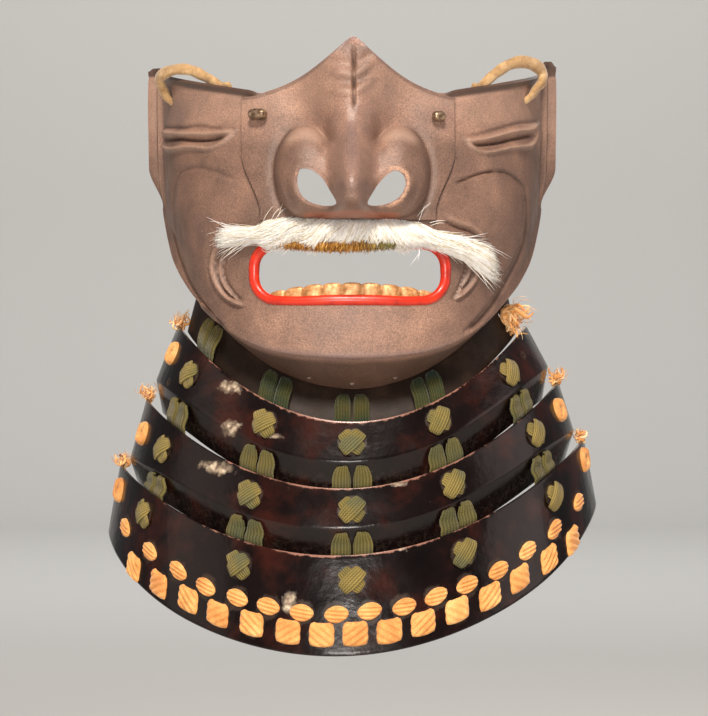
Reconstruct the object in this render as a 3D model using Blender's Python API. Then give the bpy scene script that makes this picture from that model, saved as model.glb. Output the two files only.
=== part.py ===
"""Samurai face guard: a hammered iron face plate with a pegged nose plate, lower teeth, a moustache and two
leather loops, and a throat guard of four lames hung on paired flat laces.

The origin is on the inner face of the chin. +Z is up, the guard faces -Y, and +X is on the right of
someone who looks at its front. Every length below is in millimetres, and add_solid turns them to metres.
"""

import math
from collections import namedtuple

import bmesh
import bpy
import numpy as np

METRES = 0.001

# The face plate: a superellipse in plan, open at the back, whose rear edges stand at FACE_REAR.
FACE_REAR = 95.0
FACE_ROUNDNESS = 2.35
FACE_WALL = 1.6
FaceSection = namedtuple("FaceSection", "height depth half_width")
FACE_SECTIONS = (
    FaceSection(height=-22.0, depth=93.0, half_width=69.0),
    FaceSection(height=-6.0, depth=97.0, half_width=71.0),
    FaceSection(height=20.0, depth=98.0, half_width=76.0),
    FaceSection(height=40.0, depth=96.0, half_width=79.0),
    FaceSection(height=60.0, depth=92.0, half_width=81.0),
    FaceSection(height=90.0, depth=84.0, half_width=81.0),
    FaceSection(height=122.0, depth=75.0, half_width=81.0),
)
FACE_COLUMNS = (0, 6, 12, 18, 24, 30, 36, 42, 48, 54, 60, 66, 72, 77.5, 81.5, 84.5, 87.5, 90)
FACE_ROWS = (-1, -0.6, -0.25, 0, 0.05, 0.12, 0.2, 0.28, 0.36, 0.44, 0.52, 0.6, 0.68, 0.76, 0.84, 0.91, 0.97, 1)

CHIN_CREASE_HEIGHT = -6.4
JAW_RISE = 64.4
JAW_RISE_FROM = 20.0
CHIN_TUCK = 17.0
CHIN_DROP = 11.8
CHIN_HALF_ANGLE = 55.0
CHEEK_TOP_HEIGHT = 100.5
EAR_TOP_RISE = 15.8
NOSE_HALF_ANGLE = 27.0

EAR_FLARE = 7.0
EAR_FLARE_WIDTH = 9.0
RIM_FLARE = 1.8
JAW_FLARE = 2.6
CHEEK_BULGE = 2.0

# The mouth: a slot with round ends and a rolled lip all round it.
MOUTH_HALF_WIDTH = 37.5
MOUTH_LOW = 16.6
MOUTH_HIGH = 38.6
MOUTH_CORNER = 9.5
LIP_RADIUS = 2.1

# The nose plate lies over a notch in the face plate and is as wide as NoseSide says at each height.
NOSE_COLUMNS = 27
NOSE_ROWS = 21
NOSE_GAP = 0.4
NOSE_WALL = 1.3
NOSE_FOOT = 48.0
NOSE_SHOULDER = 98.7
NOSE_PEAK = 22.3
NOSE_HALF_WIDTH_LOW = 36.0
NOSE_HALF_WIDTH_HIGH = 44.2
NoseRidge = namedtuple("NoseRidge", "height proud spread")
NOSE_RIDGE = (
    NoseRidge(height=56.0, proud=34.0, spread=8.5),
    NoseRidge(height=60.0, proud=36.0, spread=8.5),
    NoseRidge(height=66.0, proud=33.5, spread=8.7),
    NoseRidge(height=80.0, proud=22.5, spread=9.5),
    NoseRidge(height=95.0, proud=17.5, spread=13.0),
    NoseRidge(height=110.0, proud=16.5, spread=18.0),
    NoseRidge(height=122.0, proud=17.5, spread=24.0),
)
NOSE_TIP_DROP = 8.5
WING_CENTRE = (18.5, 70.0)
WING_HALF_SIZE = (13.0, 21.0)
WING_PROUD = 17.0
NOTCH_SIDE = ((33.0, 130.0), (33.0, 76.0), (30.0, 62.0), (26.0, 53.0))
NOSTRIL = ((6.6, 54.6), (14.5, 55.5), (20.0, 58.5), (22.2, 63.5), (20.5, 68.0), (16.5, 69.0), (11.5, 64.5), (8.0, 59.0))

# Pegs that hold the nose plate: a barrel head outside, a shank through both plates, a button inside.
Peg = namedtuple("Peg", "name across height half_length half_height")
PEGS = (
    Peg(name="nose_pin_left", across=-38.7, height=91.3, half_length=4.0, half_height=2.4),
    Peg(name="nose_pin_right", across=36.0, height=90.9, half_length=2.9, half_height=2.25),
)
SHANK_RADIUS = 1.0
HOLE_ROOM = 0.35

# Lames, from the chin down. Each runs through two or three edges: its top, its crease and its foot.
LAME_WALL = 1.2
Edge = namedtuple("Edge", "half_width front end height rise lift tilt")
Lame = namedtuple("Lame", "edges rows columns lace_holes knot")
LAMES = (
    Lame(
        edges=(
            Edge(half_width=63.5, front=22.5, end=74.0, height=-13.0, rise=42.0, lift=0.0, tilt=0.0),
            Edge(half_width=70.0, front=8.0, end=78.0, height=-36.0, rise=40.0, lift=0.0, tilt=0.0),
        ),
        rows=3, columns=20, lace_holes=0.465, knot=None,
    ),
    Lame(
        edges=(
            Edge(half_width=74.0, front=2.0, end=80.0, height=-32.7, rise=39.4, lift=0.0, tilt=0.0),
            Edge(half_width=83.6, front=-3.0, end=84.0, height=-48.5, rise=41.0, lift=-6.0, tilt=2.0),
            Edge(half_width=81.0, front=0.5, end=83.0, height=-63.5, rise=42.0, lift=-6.0, tilt=2.0),
        ),
        rows=2, columns=22, lace_holes=1.2, knot=0.52,
    ),
    Lame(
        edges=(
            Edge(half_width=88.0, front=-6.0, end=85.0, height=-59.0, rise=38.4, lift=0.0, tilt=2.4),
            Edge(half_width=95.0, front=-9.5, end=89.0, height=-74.7, rise=40.0, lift=-9.5, tilt=3.6),
            Edge(half_width=90.5, front=-5.5, end=87.0, height=-89.5, rise=41.0, lift=-9.5, tilt=3.6),
        ),
        rows=2, columns=24, lace_holes=1.2, knot=0.54,
    ),
    Lame(
        edges=(
            Edge(half_width=99.4, front=-14.5, end=93.0, height=-85.0, rise=38.5, lift=0.0, tilt=3.2),
            Edge(half_width=105.0, front=-21.5, end=96.0, height=-124.2, rise=38.0, lift=11.0, tilt=3.2),
        ),
        rows=5, columns=26, lace_holes=None, knot=0.25,
    ),
)

# Laces: closed flat loops. Each goes through two holes of one lame and four of the next one down.
LACE_TURNS = (-58.0, -26.5, 0.0, 26.2, 55.0)
LACE_WIDTH = 8.4
LACE_THICKNESS = 1.0
LACE_STEP_OUT = 1.1
LACE_STEP_IN = -(LAME_WALL + 1.15)
LACE_IN_HOLE_WIDTH = 1.8
LACE_IN_HOLE_THICKNESS = 0.8
LACE_BULGE = 0.5
LACE_HOLE = 3.8
PAIR_HALF_SPACING = 3.2
KNOT_HALF_SIZE = 3.3

# Frayed ends: where a broken corner lace still hangs in a lame's end holes. Lames count from 1.
Frayed = namedtuple("Frayed", "lame knot_turn knot_place tuft_turn tuft_depth tuft_reach tuft_width tuft_thickness")
FRAYED = (
    Frayed(2, knot_turn=-74.0, knot_place=0.42, tuft_turn=-87.0, tuft_depth=-2.6, tuft_reach=6.0,
           tuft_width=9.0, tuft_thickness=2.4),
    Frayed(3, knot_turn=-73.0, knot_place=0.50, tuft_turn=-87.0, tuft_depth=-2.6, tuft_reach=6.5,
           tuft_width=9.0, tuft_thickness=2.4),
    Frayed(4, knot_turn=-76.0, knot_place=0.28, tuft_turn=-84.0, tuft_depth=-2.3, tuft_reach=5.5,
           tuft_width=8.5, tuft_thickness=1.3),
    Frayed(3, knot_turn=72.0, knot_place=0.45, tuft_turn=85.0, tuft_depth=-2.6, tuft_reach=6.0,
           tuft_width=9.0, tuft_thickness=2.4),
    Frayed(4, knot_turn=76.0, knot_place=0.22, tuft_turn=82.0, tuft_depth=-2.3, tuft_reach=5.0,
           tuft_width=6.5, tuft_thickness=1.3),
)
HoleSpot = namedtuple("HoleSpot", "lame turn place")
BARE_HOLES = (HoleSpot(lame=2, turn=-68.0, place=0.9), HoleSpot(lame=2, turn=66.0, place=0.42))
BARE_HOLE_SIZE = 1.8
# One corner pair is broken: its frayed end hangs out of the lame above.
BROKEN_PAIR = HoleSpot(lame=1, turn=68.0, place=0.5)

# The moustache's outer form along the upper lip, and the gilt teeth behind the lower lip.
Tuft = namedtuple("Tuft", "turn centre half_height thickness")
MOUSTACHE = (
    Tuft(turn=-36.5, centre=40.2, half_height=3.6, thickness=3.5),
    Tuft(turn=-32.0, centre=40.4, half_height=5.2, thickness=6.0),
    Tuft(turn=-24.0, centre=40.6, half_height=6.0, thickness=8.0),
    Tuft(turn=-12.0, centre=41.0, half_height=6.2, thickness=9.0),
    Tuft(turn=0.0, centre=41.2, half_height=6.2, thickness=9.0),
    Tuft(turn=12.0, centre=41.0, half_height=6.2, thickness=9.0),
    Tuft(turn=23.0, centre=39.2, half_height=6.6, thickness=8.5),
    Tuft(turn=30.0, centre=35.0, half_height=7.6, thickness=8.0),
    Tuft(turn=36.0, centre=30.0, half_height=8.0, thickness=6.5),
    Tuft(turn=40.0, centre=25.0, half_height=4.2, thickness=3.5),
)
TEETH_HALF_ANGLE = 19.0
TEETH_PITCH = 4.4
TEETH_TOP = 22.6
TEETH_FALL = 4.6
TEETH_FOOT = 13.5
TEETH_SET_BACK = 3.4
TEETH_THICKNESS = 1.6

# Leather loops: each goes out through a hole at the ear, over the rim, and back down inside.
LOOP_WIDTH = 4.2
LOOP_THICKNESS = 2.0
LoopSpot = namedtuple("LoopSpot", "turn height outward")
LOOP_ROUTE = (
    LoopSpot(turn=76.0, height=104.0, outward=-0.8),
    LoopSpot(turn=76.5, height=107.5, outward=2.0),
    LoopSpot(turn=76.0, height=112.0, outward=4.4),
    LoopSpot(turn=74.0, height=117.0, outward=3.6),
    LoopSpot(turn=69.0, height=118.6, outward=1.2),
    LoopSpot(turn=62.0, height=116.4, outward=-1.6),
    LoopSpot(turn=54.0, height=111.5, outward=-4.2),
    LoopSpot(turn=47.0, height=104.5, outward=-5.2),
    LoopSpot(turn=46.0, height=98.0, outward=-5.0),
    LoopSpot(turn=51.0, height=95.5, outward=-4.4),
    LoopSpot(turn=60.0, height=96.5, outward=-4.0),
    LoopSpot(turn=69.0, height=99.5, outward=-3.8),
    LoopSpot(turn=74.0, height=102.0, outward=-3.2),
)
LOOP_HOLE = 6.8

# Plain hidden rivets that hold the first lame under the chin.
Rivet = namedtuple("Rivet", "name turn")
NECK_RIVETS = (
    Rivet(name="neck_rivet_left", turn=-12.0),
    Rivet(name="neck_rivet_centre", turn=0.0),
    Rivet(name="neck_rivet_right", turn=12.0),
)
NECK_RIVET_RADIUS = 1.1
NECK_RIVET_LENGTH = 11.0
NECK_RIVET_ROW = -0.8

# Finishes: colour, roughness and how metallic.
Finish = namedtuple("Finish", "colour roughness metallic")
FINISHES = {
    "russet_lacquer": Finish((0.13, 0.085, 0.065), 0.62, 0.0),
    "black_lacquer": Finish((0.022, 0.014, 0.014), 0.28, 0.0),
    "green_silk": Finish((0.11, 0.13, 0.045), 0.85, 0.0),
    "orange_silk": Finish((0.75, 0.36, 0.11), 0.85, 0.0),
    "gilt": Finish((0.72, 0.45, 0.20), 0.38, 0.7),
    "brass": Finish((0.45, 0.30, 0.16), 0.40, 0.9),
    "iron": Finish((0.10, 0.09, 0.085), 0.50, 0.8),
    "white_hair": Finish((0.82, 0.79, 0.72), 0.60, 0.0),
    "tan_leather": Finish((0.58, 0.38, 0.20), 0.80, 0.0),
}


def ease(value):
    """0 below 0, 1 above 1, and a smooth step between."""
    value = min(max(value, 0.0), 1.0)
    return value * value * (3.0 - 2.0 * value)


def smooth_between(at, places, values):
    """The value at one place on a smooth curve through a table's rows."""
    at = min(max(at, places[0]), places[-1])
    slopes = np.gradient(values, places)
    row = min(max(int(np.searchsorted(places, at)) - 1, 0), len(places) - 2)
    span = places[row + 1] - places[row]
    part = (at - places[row]) / span
    rise = part * part * (3.0 - 2.0 * part)
    return (
        values[row] * (1.0 - rise)
        + values[row + 1] * rise
        + slopes[row] * span * part * (1.0 - part) ** 2
        - slopes[row + 1] * span * part**2 * (1.0 - part)
    )


def unit(vector):
    return vector / np.linalg.norm(vector)


# ---------------------------------------------------------------- solids from rings and grids


def skin(rings, closed=False):
    """Points and faces of a solid drawn through rings of points, capped at both ends unless it closes on itself."""
    count = len(rings[0])
    points = [point for ring in rings for point in ring]
    faces = []
    for row in range(len(rings) if closed else len(rings) - 1):
        low = row * count
        high = (row + 1) % len(rings) * count
        for col in range(count):
            turn = (col + 1) % count
            faces.append((low + col, low + turn, high + turn, high + col))
    if not closed:
        faces.append(tuple(range(count)))
        faces.append(tuple(range(len(points) - count, len(points))))
    return points, faces


def shell(grid, wall):
    """Points and faces of a wall whose outer face is a grid of points, seen from outside the rear axis."""
    outer = np.array(grid)
    normals = np.cross(np.gradient(outer, axis=1), np.gradient(outer, axis=0))
    normals /= np.linalg.norm(normals, axis=2, keepdims=True)
    outward = outer[:, :, :2] - np.array([0.0, FACE_REAR])
    if (normals[:, :, :2] * outward).sum() < 0:
        normals = -normals
    inner = outer - normals * wall
    rows, cols = outer.shape[:2]
    points = [*outer.reshape(-1, 3), *inner.reshape(-1, 3)]
    faces = []
    for row in range(rows - 1):
        for col in range(cols - 1):
            corner = row * cols + col
            quad = (corner, corner + 1, corner + cols + 1, corner + cols)
            faces.append(quad)
            faces.append(tuple(rows * cols + index for index in reversed(quad)))
    rim = [col for col in range(cols)]
    rim += [row * cols + cols - 1 for row in range(1, rows)]
    rim += [(rows - 1) * cols + col for col in range(cols - 2, -1, -1)]
    rim += [row * cols for row in range(rows - 2, 0, -1)]
    for here, there in zip(rim, rim[1:] + rim[:1]):
        faces.append((here, there, there + rows * cols, here + rows * cols))
    return points, faces


def add_solid(name, shapes, finish):
    """One object from a list of (points, faces) shapes, in metres, its faces turned outwards."""
    mesh = bpy.data.meshes.new(name)
    points = []
    faces = []
    for shape_points, shape_faces in shapes:
        faces += [tuple(index + len(points) for index in face) for face in shape_faces]
        points += [tuple(float(value) * METRES for value in point) for point in shape_points]
    mesh.from_pydata(points, [], faces)
    work = bmesh.new()
    work.from_mesh(mesh)
    bmesh.ops.triangulate(work, faces=work.faces)
    bmesh.ops.recalc_face_normals(work, faces=work.faces)
    work.to_mesh(mesh)
    work.free()
    mesh.shade_smooth()
    mesh.set_sharp_from_angle(angle=math.radians(40))
    piece = bpy.data.objects.new(name, mesh)
    bpy.context.collection.objects.link(piece)
    if finish:
        mesh.materials.append(material(name, finish))
    return piece


def material(name, finish):
    made = bpy.data.materials.new(name + "_" + finish)
    made.use_nodes = True
    shader = made.node_tree.nodes["Principled BSDF"]
    shader.inputs["Base Color"].default_value = (*FINISHES[finish].colour, 1.0)
    shader.inputs["Roughness"].default_value = FINISHES[finish].roughness
    shader.inputs["Metallic"].default_value = FINISHES[finish].metallic
    return made


def shape_with(piece, operation, shapes, name):
    """Cuts shapes out of a piece, or joins them to it, with a Boolean modifier."""
    tool = add_solid(name, shapes, None)
    tool.hide_render = True
    tool.display_type = "WIRE"
    change = piece.modifiers.new(name, "BOOLEAN")
    change.operation = operation
    change.solver = "EXACT"
    change.object = tool


def prism(outline, front, back):
    """A bar along Y whose section is an outline of (x, z) points."""
    return skin([[(x, y, z) for x, z in outline] for y in (front, back)])


def stud(centre, axis, across, profile, sides=8):
    """A turned stud. Each profile row holds the distance along the axis and the half sizes across and up."""
    up = np.cross(axis, across)
    rings = []
    for distance, half_across, half_up in profile:
        ring = []
        for step in range(sides):
            angle = 2.0 * math.pi * (step + 0.5) / sides
            ring.append(
                centre + axis * distance + across * half_across * math.cos(angle) + up * half_up * math.sin(angle)
            )
        rings.append(ring)
    return skin(rings)


def ribbon(stations, closed):
    """A flat band. Each station holds its centre, its width's direction, its width and its thickness."""
    centres = [station[0] for station in stations]
    rings = []
    for index, (centre, sideways, width, thickness) in enumerate(stations):
        if closed:
            ahead = centres[(index + 1) % len(centres)]
            behind = centres[index - 1]
        else:
            ahead = centres[min(index + 1, len(centres) - 1)]
            behind = centres[max(index - 1, 0)]
        along = unit(ahead - behind)
        sideways = unit(sideways - along * np.dot(sideways, along))
        flat = np.cross(along, sideways)
        half_width = sideways * width / 2
        half_thickness = flat * thickness / 2
        rings.append([
            centre - half_width - half_thickness,
            centre + half_width - half_thickness,
            centre + half_width + half_thickness,
            centre - half_width + half_thickness,
        ])
    return skin(rings, closed)


# ---------------------------------------------------------------- face plate


def jaw_height(turn):
    """Height of the jaw's edge: level under the chin, then rising to the ears."""
    part = max(abs(turn) - JAW_RISE_FROM, 0.0) / (90.0 - JAW_RISE_FROM)
    return CHIN_CREASE_HEIGHT + JAW_RISE * part**1.15


def face_top_height(turn):
    part = max(abs(turn) - NOSE_HALF_ANGLE, 0.0) / (90.0 - NOSE_HALF_ANGLE)
    return CHEEK_TOP_HEIGHT + EAR_TOP_RISE * part


def face_radius(turn, height):
    """Distance from the rear axis to the plate's outer face, without its flares."""
    heights = [section.height for section in FACE_SECTIONS]
    depth = smooth_between(height, heights, [section.depth for section in FACE_SECTIONS])
    half_width = smooth_between(height, heights, [section.half_width for section in FACE_SECTIONS])
    angle = math.radians(turn)
    across = (abs(math.sin(angle)) / half_width) ** FACE_ROUNDNESS
    forward = (abs(math.cos(angle)) / depth) ** FACE_ROUNDNESS
    return (across + forward) ** (-1.0 / FACE_ROUNDNESS)


def face_flare(turn, height):
    """How far the plate stands out at its ears, its top rim, its jaw and its cheeks."""
    from_ear = math.radians(90.0 - abs(turn)) * 80.0
    ear = EAR_FLARE * max(0.0, 1.0 - from_ear / EAR_FLARE_WIDTH) ** 2 * ease((height - 58.0) / 17.0)
    from_rim = min(height - face_top_height(turn), 0.0)
    rim = RIM_FLARE * math.exp(from_rim / 2.0) * ease((abs(turn) - 24.0) / 6.0)
    jaw = JAW_FLARE * math.exp((jaw_height(turn) - height) / 5.0) * ease((abs(turn) - 38.0) / 34.0)
    cheek_turn = (abs(turn) - 50.0) / 17.0
    cheek_height = (height - 46.0) / 17.0
    cheek = CHEEK_BULGE * math.exp(-(cheek_turn**2) - cheek_height**2)
    return ear + rim + jaw + cheek


def at_turn(turn, radius, height):
    angle = math.radians(turn)
    return np.array([radius * math.sin(angle), FACE_REAR - radius * math.cos(angle), height])


def face_point(turn, height, outward=0.0):
    """A point on the plate's outer face, or off it along its normal."""
    point = at_turn(turn, face_radius(turn, height) + face_flare(turn, height), height)
    if outward:
        sideways = face_point(turn + 0.2, height) - face_point(turn - 0.2, height)
        upwards = face_point(turn, height + 0.2) - face_point(turn, height - 0.2)
        point = point + outward * unit(np.cross(sideways, upwards))
    return point


def turn_at(across, height):
    """The angle round the plate at which its outer face is this far from the middle."""
    low, high = 0.0, 89.0
    for _ in range(30):
        middle = (low + high) / 2
        if face_point(middle, height)[0] < abs(across):
            low = middle
        else:
            high = middle
    return math.copysign(low, across)


def face_row_point(turn, row):
    """Rows 0 to 1 climb the wall from the jaw to the rim. Rows 0 to -1 go back under the chin."""
    if row >= 0:
        height = jaw_height(turn) + row * (face_top_height(turn) - jaw_height(turn))
        return face_point(turn, height)
    height = jaw_height(turn)
    under = math.cos(math.radians(90.0 * min(abs(turn) / CHIN_HALF_ANGLE, 1.0))) ** 2
    radius = face_radius(turn, height) + face_flare(turn, height)
    return at_turn(turn, radius + row * (1.4 + CHIN_TUCK * under), height + row * (0.9 + CHIN_DROP * under))


def mouth_outline():
    """Points (x, z) round the mouth: four corner arcs, with a few points along the upper and lower runs."""
    outline = []
    for corner_x, corner_z, start in ((1, 1, 0), (-1, 1, 90), (-1, -1, 180), (1, -1, 270)):
        for step in range(5):
            angle = math.radians(start + step * 22.5)
            x = corner_x * (MOUTH_HALF_WIDTH - MOUTH_CORNER) + MOUTH_CORNER * math.cos(angle)
            z_middle = MOUTH_HIGH - MOUTH_CORNER if corner_z > 0 else MOUTH_LOW + MOUTH_CORNER
            outline.append((x, z_middle + MOUTH_CORNER * math.sin(angle)))
        if corner_x == corner_z:
            end = -corner_x * (MOUTH_HALF_WIDTH - MOUTH_CORNER)
            outline += [(x, outline[-1][1]) for x in np.linspace(-end, end, 6)[1:-1]]
    return outline


def lip_roll():
    """The rolled lip: a ring of small hexagons that follows the mouth's edge on the plate."""
    centres = []
    for x, z in mouth_outline():
        centres.append(face_point(turn_at(x, z), z, -FACE_WALL / 2))
    rings = []
    for index, centre in enumerate(centres):
        along = unit(centres[(index + 1) % len(centres)] - centres[index - 1])
        outward = unit(centre * np.array([1.0, 1.0, 0.0]) - np.array([0.0, FACE_REAR, 0.0]))
        outward = unit(outward - along * np.dot(outward, along))
        aside = np.cross(along, outward)
        ring = []
        for step in range(6):
            angle = math.radians(60.0 * step)
            ring.append(centre + LIP_RADIUS * (math.cos(angle) * outward + math.sin(angle) * aside))
        rings.append(ring)
    return skin(rings, closed=True)


def hole_through(centre, axis, across, size, inward=4.0, outward=4.0):
    """A square bar along an axis, for cutting a hole."""
    half_diagonal = size / math.sqrt(2)
    ends = ((-inward, half_diagonal, half_diagonal), (outward, half_diagonal, half_diagonal))
    return stud(centre, axis, across, ends, 4)


def face_frame(turn, height):
    """A point of the plate's outer face with its outward and level directions."""
    point = face_point(turn, height)
    outward = unit(face_point(turn, height, 1.0) - point)
    level = unit(np.cross(np.array([0.0, 0.0, 1.0]), outward))
    return point, outward, level


def build_face_plate():
    turns = [-turn for turn in reversed(FACE_COLUMNS[1:])] + list(FACE_COLUMNS)
    grid = [[face_row_point(turn, row) for turn in turns] for row in FACE_ROWS]
    plate = add_solid("face_plate", [shell(grid, FACE_WALL)], "russet_lacquer")
    notch = [(side, z) for side, z in NOTCH_SIDE] + [(-side, z) for side, z in reversed(NOTCH_SIDE)]
    shape_with(plate, "DIFFERENCE", [prism(notch, -60.0, 60.0)], "nose_notch_cutter")
    shape_with(plate, "DIFFERENCE", [prism(mouth_outline(), -60.0, 60.0)], "mouth_cutter")
    shape_with(plate, "UNION", [lip_roll()], "lip_roll")
    holes = []
    for peg in PEGS:
        centre, outward, level = face_frame(turn_at(peg.across, peg.height), peg.height)
        holes.append(hole_through(centre, outward, level, 2 * (SHANK_RADIUS + HOLE_ROOM)))
    for side in (-1, 1):
        centre, outward, level = face_frame(side * LOOP_ROUTE[0].turn, LOOP_ROUTE[0].height)
        holes.append(hole_through(centre, outward, level, LOOP_HOLE))
    shape_with(plate, "DIFFERENCE", holes + rivet_holes(), "face_hole_cutter")


# ---------------------------------------------------------------- nose plate and its pegs


def nose_half_width(height):
    grow = ease((height - 50.0) / 26.0)
    return NOSE_HALF_WIDTH_LOW + (NOSE_HALF_WIDTH_HIGH - NOSE_HALF_WIDTH_LOW) * grow


def nose_relief(across, height):
    """How far the nose stands out of the cheeks: a ridge with a round tip, blended with two wings."""
    heights = [row.height for row in NOSE_RIDGE]
    proud = smooth_between(height, heights, [row.proud for row in NOSE_RIDGE])
    spread = smooth_between(height, heights, [row.spread for row in NOSE_RIDGE])
    under_tip = max(0.0, 1.0 - (height - NOSE_FOOT) / NOSE_TIP_DROP)
    ridge = proud * math.sqrt(max(0.0, 1.0 - under_tip**2)) * math.exp(-((abs(across) / spread) ** 2))
    wing_x = (abs(across) - WING_CENTRE[0]) / WING_HALF_SIZE[0]
    wing_z = (height - WING_CENTRE[1]) / WING_HALF_SIZE[1]
    wing = WING_PROUD * math.sqrt(max(0.0, 1.0 - wing_x**2 - wing_z**2))
    return (ridge**3 + wing**3) ** (1.0 / 3.0)


def nose_point(across_part, up_part):
    """The nose plate's outer face. It lies on the face plate at its edges."""
    apart = math.sqrt(across_part**2 + 0.0025) - 0.05
    top = NOSE_SHOULDER + NOSE_PEAK * (1.0 - apart) ** 1.9
    height = NOSE_FOOT + up_part * (top - NOSE_FOOT)
    across = across_part * nose_half_width(height)
    lift = NOSE_GAP + NOSE_WALL
    point = face_point(turn_at(across, min(height, CHEEK_TOP_HEIGHT)), height, lift)
    point[1] -= nose_relief(point[0], height)
    return point


def build_nose_plate():
    across_parts = np.linspace(-1.0, 1.0, NOSE_COLUMNS)
    up_parts = np.linspace(0.0, 1.0, NOSE_ROWS) ** 1.6
    grid = [[nose_point(across, up) for across in across_parts] for up in up_parts]
    plate = add_solid("nose_plate", [shell(grid, NOSE_WALL)], "russet_lacquer")
    nostrils = [prism([(side * x, z) for x, z in NOSTRIL], -60.0, 20.0) for side in (-1, 1)]
    shape_with(plate, "DIFFERENCE", nostrils, "nostril_cutter")
    holes = []
    for peg in PEGS:
        centre, outward, level = face_frame(turn_at(peg.across, peg.height), peg.height)
        holes.append(hole_through(centre, outward, level, 2 * (SHANK_RADIUS + HOLE_ROOM)))
    shape_with(plate, "DIFFERENCE", holes, "peg_hole_cutter")


def build_peg(peg):
    centre, outward, level = face_frame(turn_at(peg.across, peg.height), peg.height)
    head_foot = NOSE_GAP + NOSE_WALL + 1.4
    inside = -FACE_WALL - 0.5
    profile = (
        (inside - 1.0, 1.4, 1.4),
        (inside, 1.6, 1.6),
        (inside + 0.02, SHANK_RADIUS, SHANK_RADIUS),
        (head_foot, SHANK_RADIUS, SHANK_RADIUS),
        (head_foot + 0.1, 0.86 * peg.half_length, 0.7 * peg.half_height),
        (head_foot + 1.4, peg.half_length, peg.half_height),
        (head_foot + 3.0, peg.half_length, 0.95 * peg.half_height),
        (head_foot + 4.2, 0.88 * peg.half_length, 0.5 * peg.half_height),
    )
    add_solid(peg.name, [stud(centre, outward, level, profile, 10)], "brass")


# ---------------------------------------------------------------- teeth, moustache and leather loops


def build_teeth():
    rings = []
    steps = 36
    for step in range(steps + 1):
        turn = TEETH_HALF_ANGLE * (2.0 * step / steps - 1.0)
        scallop = 0.8 * abs(math.cos(math.pi * turn / TEETH_PITCH)) ** 0.6
        top = TEETH_TOP - 0.8 + scallop - TEETH_FALL * (turn / TEETH_HALF_ANGLE) ** 2
        ring = []
        for height, inward in ((TEETH_FOOT, 0.0), (top, 0.0), (top, 1.0), (TEETH_FOOT, 1.0)):
            ring.append(face_point(turn, height, -TEETH_SET_BACK - inward * TEETH_THICKNESS))
        rings.append(ring)
    add_solid("lower_teeth", [skin(rings)], "gilt")


def build_moustache():
    """Hair combed down and outwards: a full round section over the lip, thinning to both ends."""
    section = ((0.06, 0.95), (0.42, 1.0), (0.8, 0.62), (1.0, -0.1), (0.92, -0.72), (0.66, -1.0), (0.44, -0.72), (0.06, 0.05))
    turns = [tuft.turn for tuft in MOUSTACHE]
    rings = []
    for turn in np.linspace(turns[0], turns[-1], 20):
        centre = smooth_between(turn, turns, [tuft.centre for tuft in MOUSTACHE])
        half_height = smooth_between(turn, turns, [tuft.half_height for tuft in MOUSTACHE])
        thickness = smooth_between(turn, turns, [tuft.thickness for tuft in MOUSTACHE])
        ring = []
        for out, up in section:
            ring.append(face_point(turn, centre + up * half_height, max(out * thickness, 0.6)))
        rings.append(ring)
    add_solid("moustache", [skin(rings)], "white_hair")


def build_loop(name, side):
    centres = [face_point(side * spot.turn, spot.height, spot.outward) for spot in LOOP_ROUTE]
    stations = []
    for index, spot in enumerate(LOOP_ROUTE):
        outward = unit(face_point(side * spot.turn, spot.height, 1.0) - face_point(side * spot.turn, spot.height))
        along = centres[(index + 1) % len(centres)] - centres[index - 1]
        in_hole = index == 0
        width = 0.72 * LOOP_WIDTH if in_hole else LOOP_WIDTH
        stations.append((centres[index], np.cross(outward, along), width, LOOP_THICKNESS))
    add_solid(name, [ribbon(stations, closed=True)], "tan_leather")


# ---------------------------------------------------------------- lames


def edge_point(edge, turn):
    angle = math.radians(turn)
    sine = math.sin(angle)
    x = edge.half_width * sine
    y = edge.end - (edge.end - edge.front) * math.cos(angle)
    z = edge.height + edge.rise * sine**2 + edge.lift * sine**8 + x * math.tan(math.radians(edge.tilt))
    return np.array([x, y, z])


def lame_place(lame, turn, down):
    """A point of a lame's outer face, with its sideways, downward and outward directions and their stretch.

    down runs from 0 at the top edge through 1 at the next edge, and so on.
    """
    first = min(int(down), len(lame.edges) - 2)

    def at(turn_there):
        top = edge_point(lame.edges[first], turn_there)
        fall = edge_point(lame.edges[first + 1], turn_there) - top
        return top + fall * (down - first), fall

    point, fall = at(turn)
    sideways = (at(turn + 0.1)[0] - at(turn - 0.1)[0]) / 0.2
    outward = unit(np.cross(fall, sideways))
    return point, sideways, fall, outward


def near_on_lame(lame, turn, down, aside, below):
    """The place on a lame that lies aside and below of another, in millimetres along its face."""
    _, sideways, fall, _ = lame_place(lame, turn, down)
    return lame_place(lame, turn + aside / np.linalg.norm(sideways), down + below / np.linalg.norm(fall))


def band_on_lame(lame, turn, down, aside, below, outward, direction, width, thickness):
    """A ribbon's station on or behind a lame. Its width lies in the lame's face, along (sideways, up)."""
    point, sideways, _, normal = near_on_lame(lame, turn, down, aside, below)
    level = unit(sideways)
    in_face = direction[0] * level + direction[1] * np.cross(normal, level)
    return point + normal * outward, in_face, width, thickness


def lame_grid(lame):
    turns = [90.0 * (2.0 * step / lame.columns - 1.0) for step in range(lame.columns + 1)]
    last = len(lame.edges) - 1
    downs = [step / lame.rows for step in range(last * lame.rows + 1)]
    return [[lame_place(lame, turn, min(down, last - 1e-9))[0] for turn in turns] for down in downs]


def hole_in_lame(lame, turn, down, aside, below, size):
    centre, sideways, _, outward = near_on_lame(lame, turn, down, aside, below)
    return hole_through(centre, outward, unit(sideways), size, 1.6 * LAME_WALL, LAME_WALL)


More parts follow.
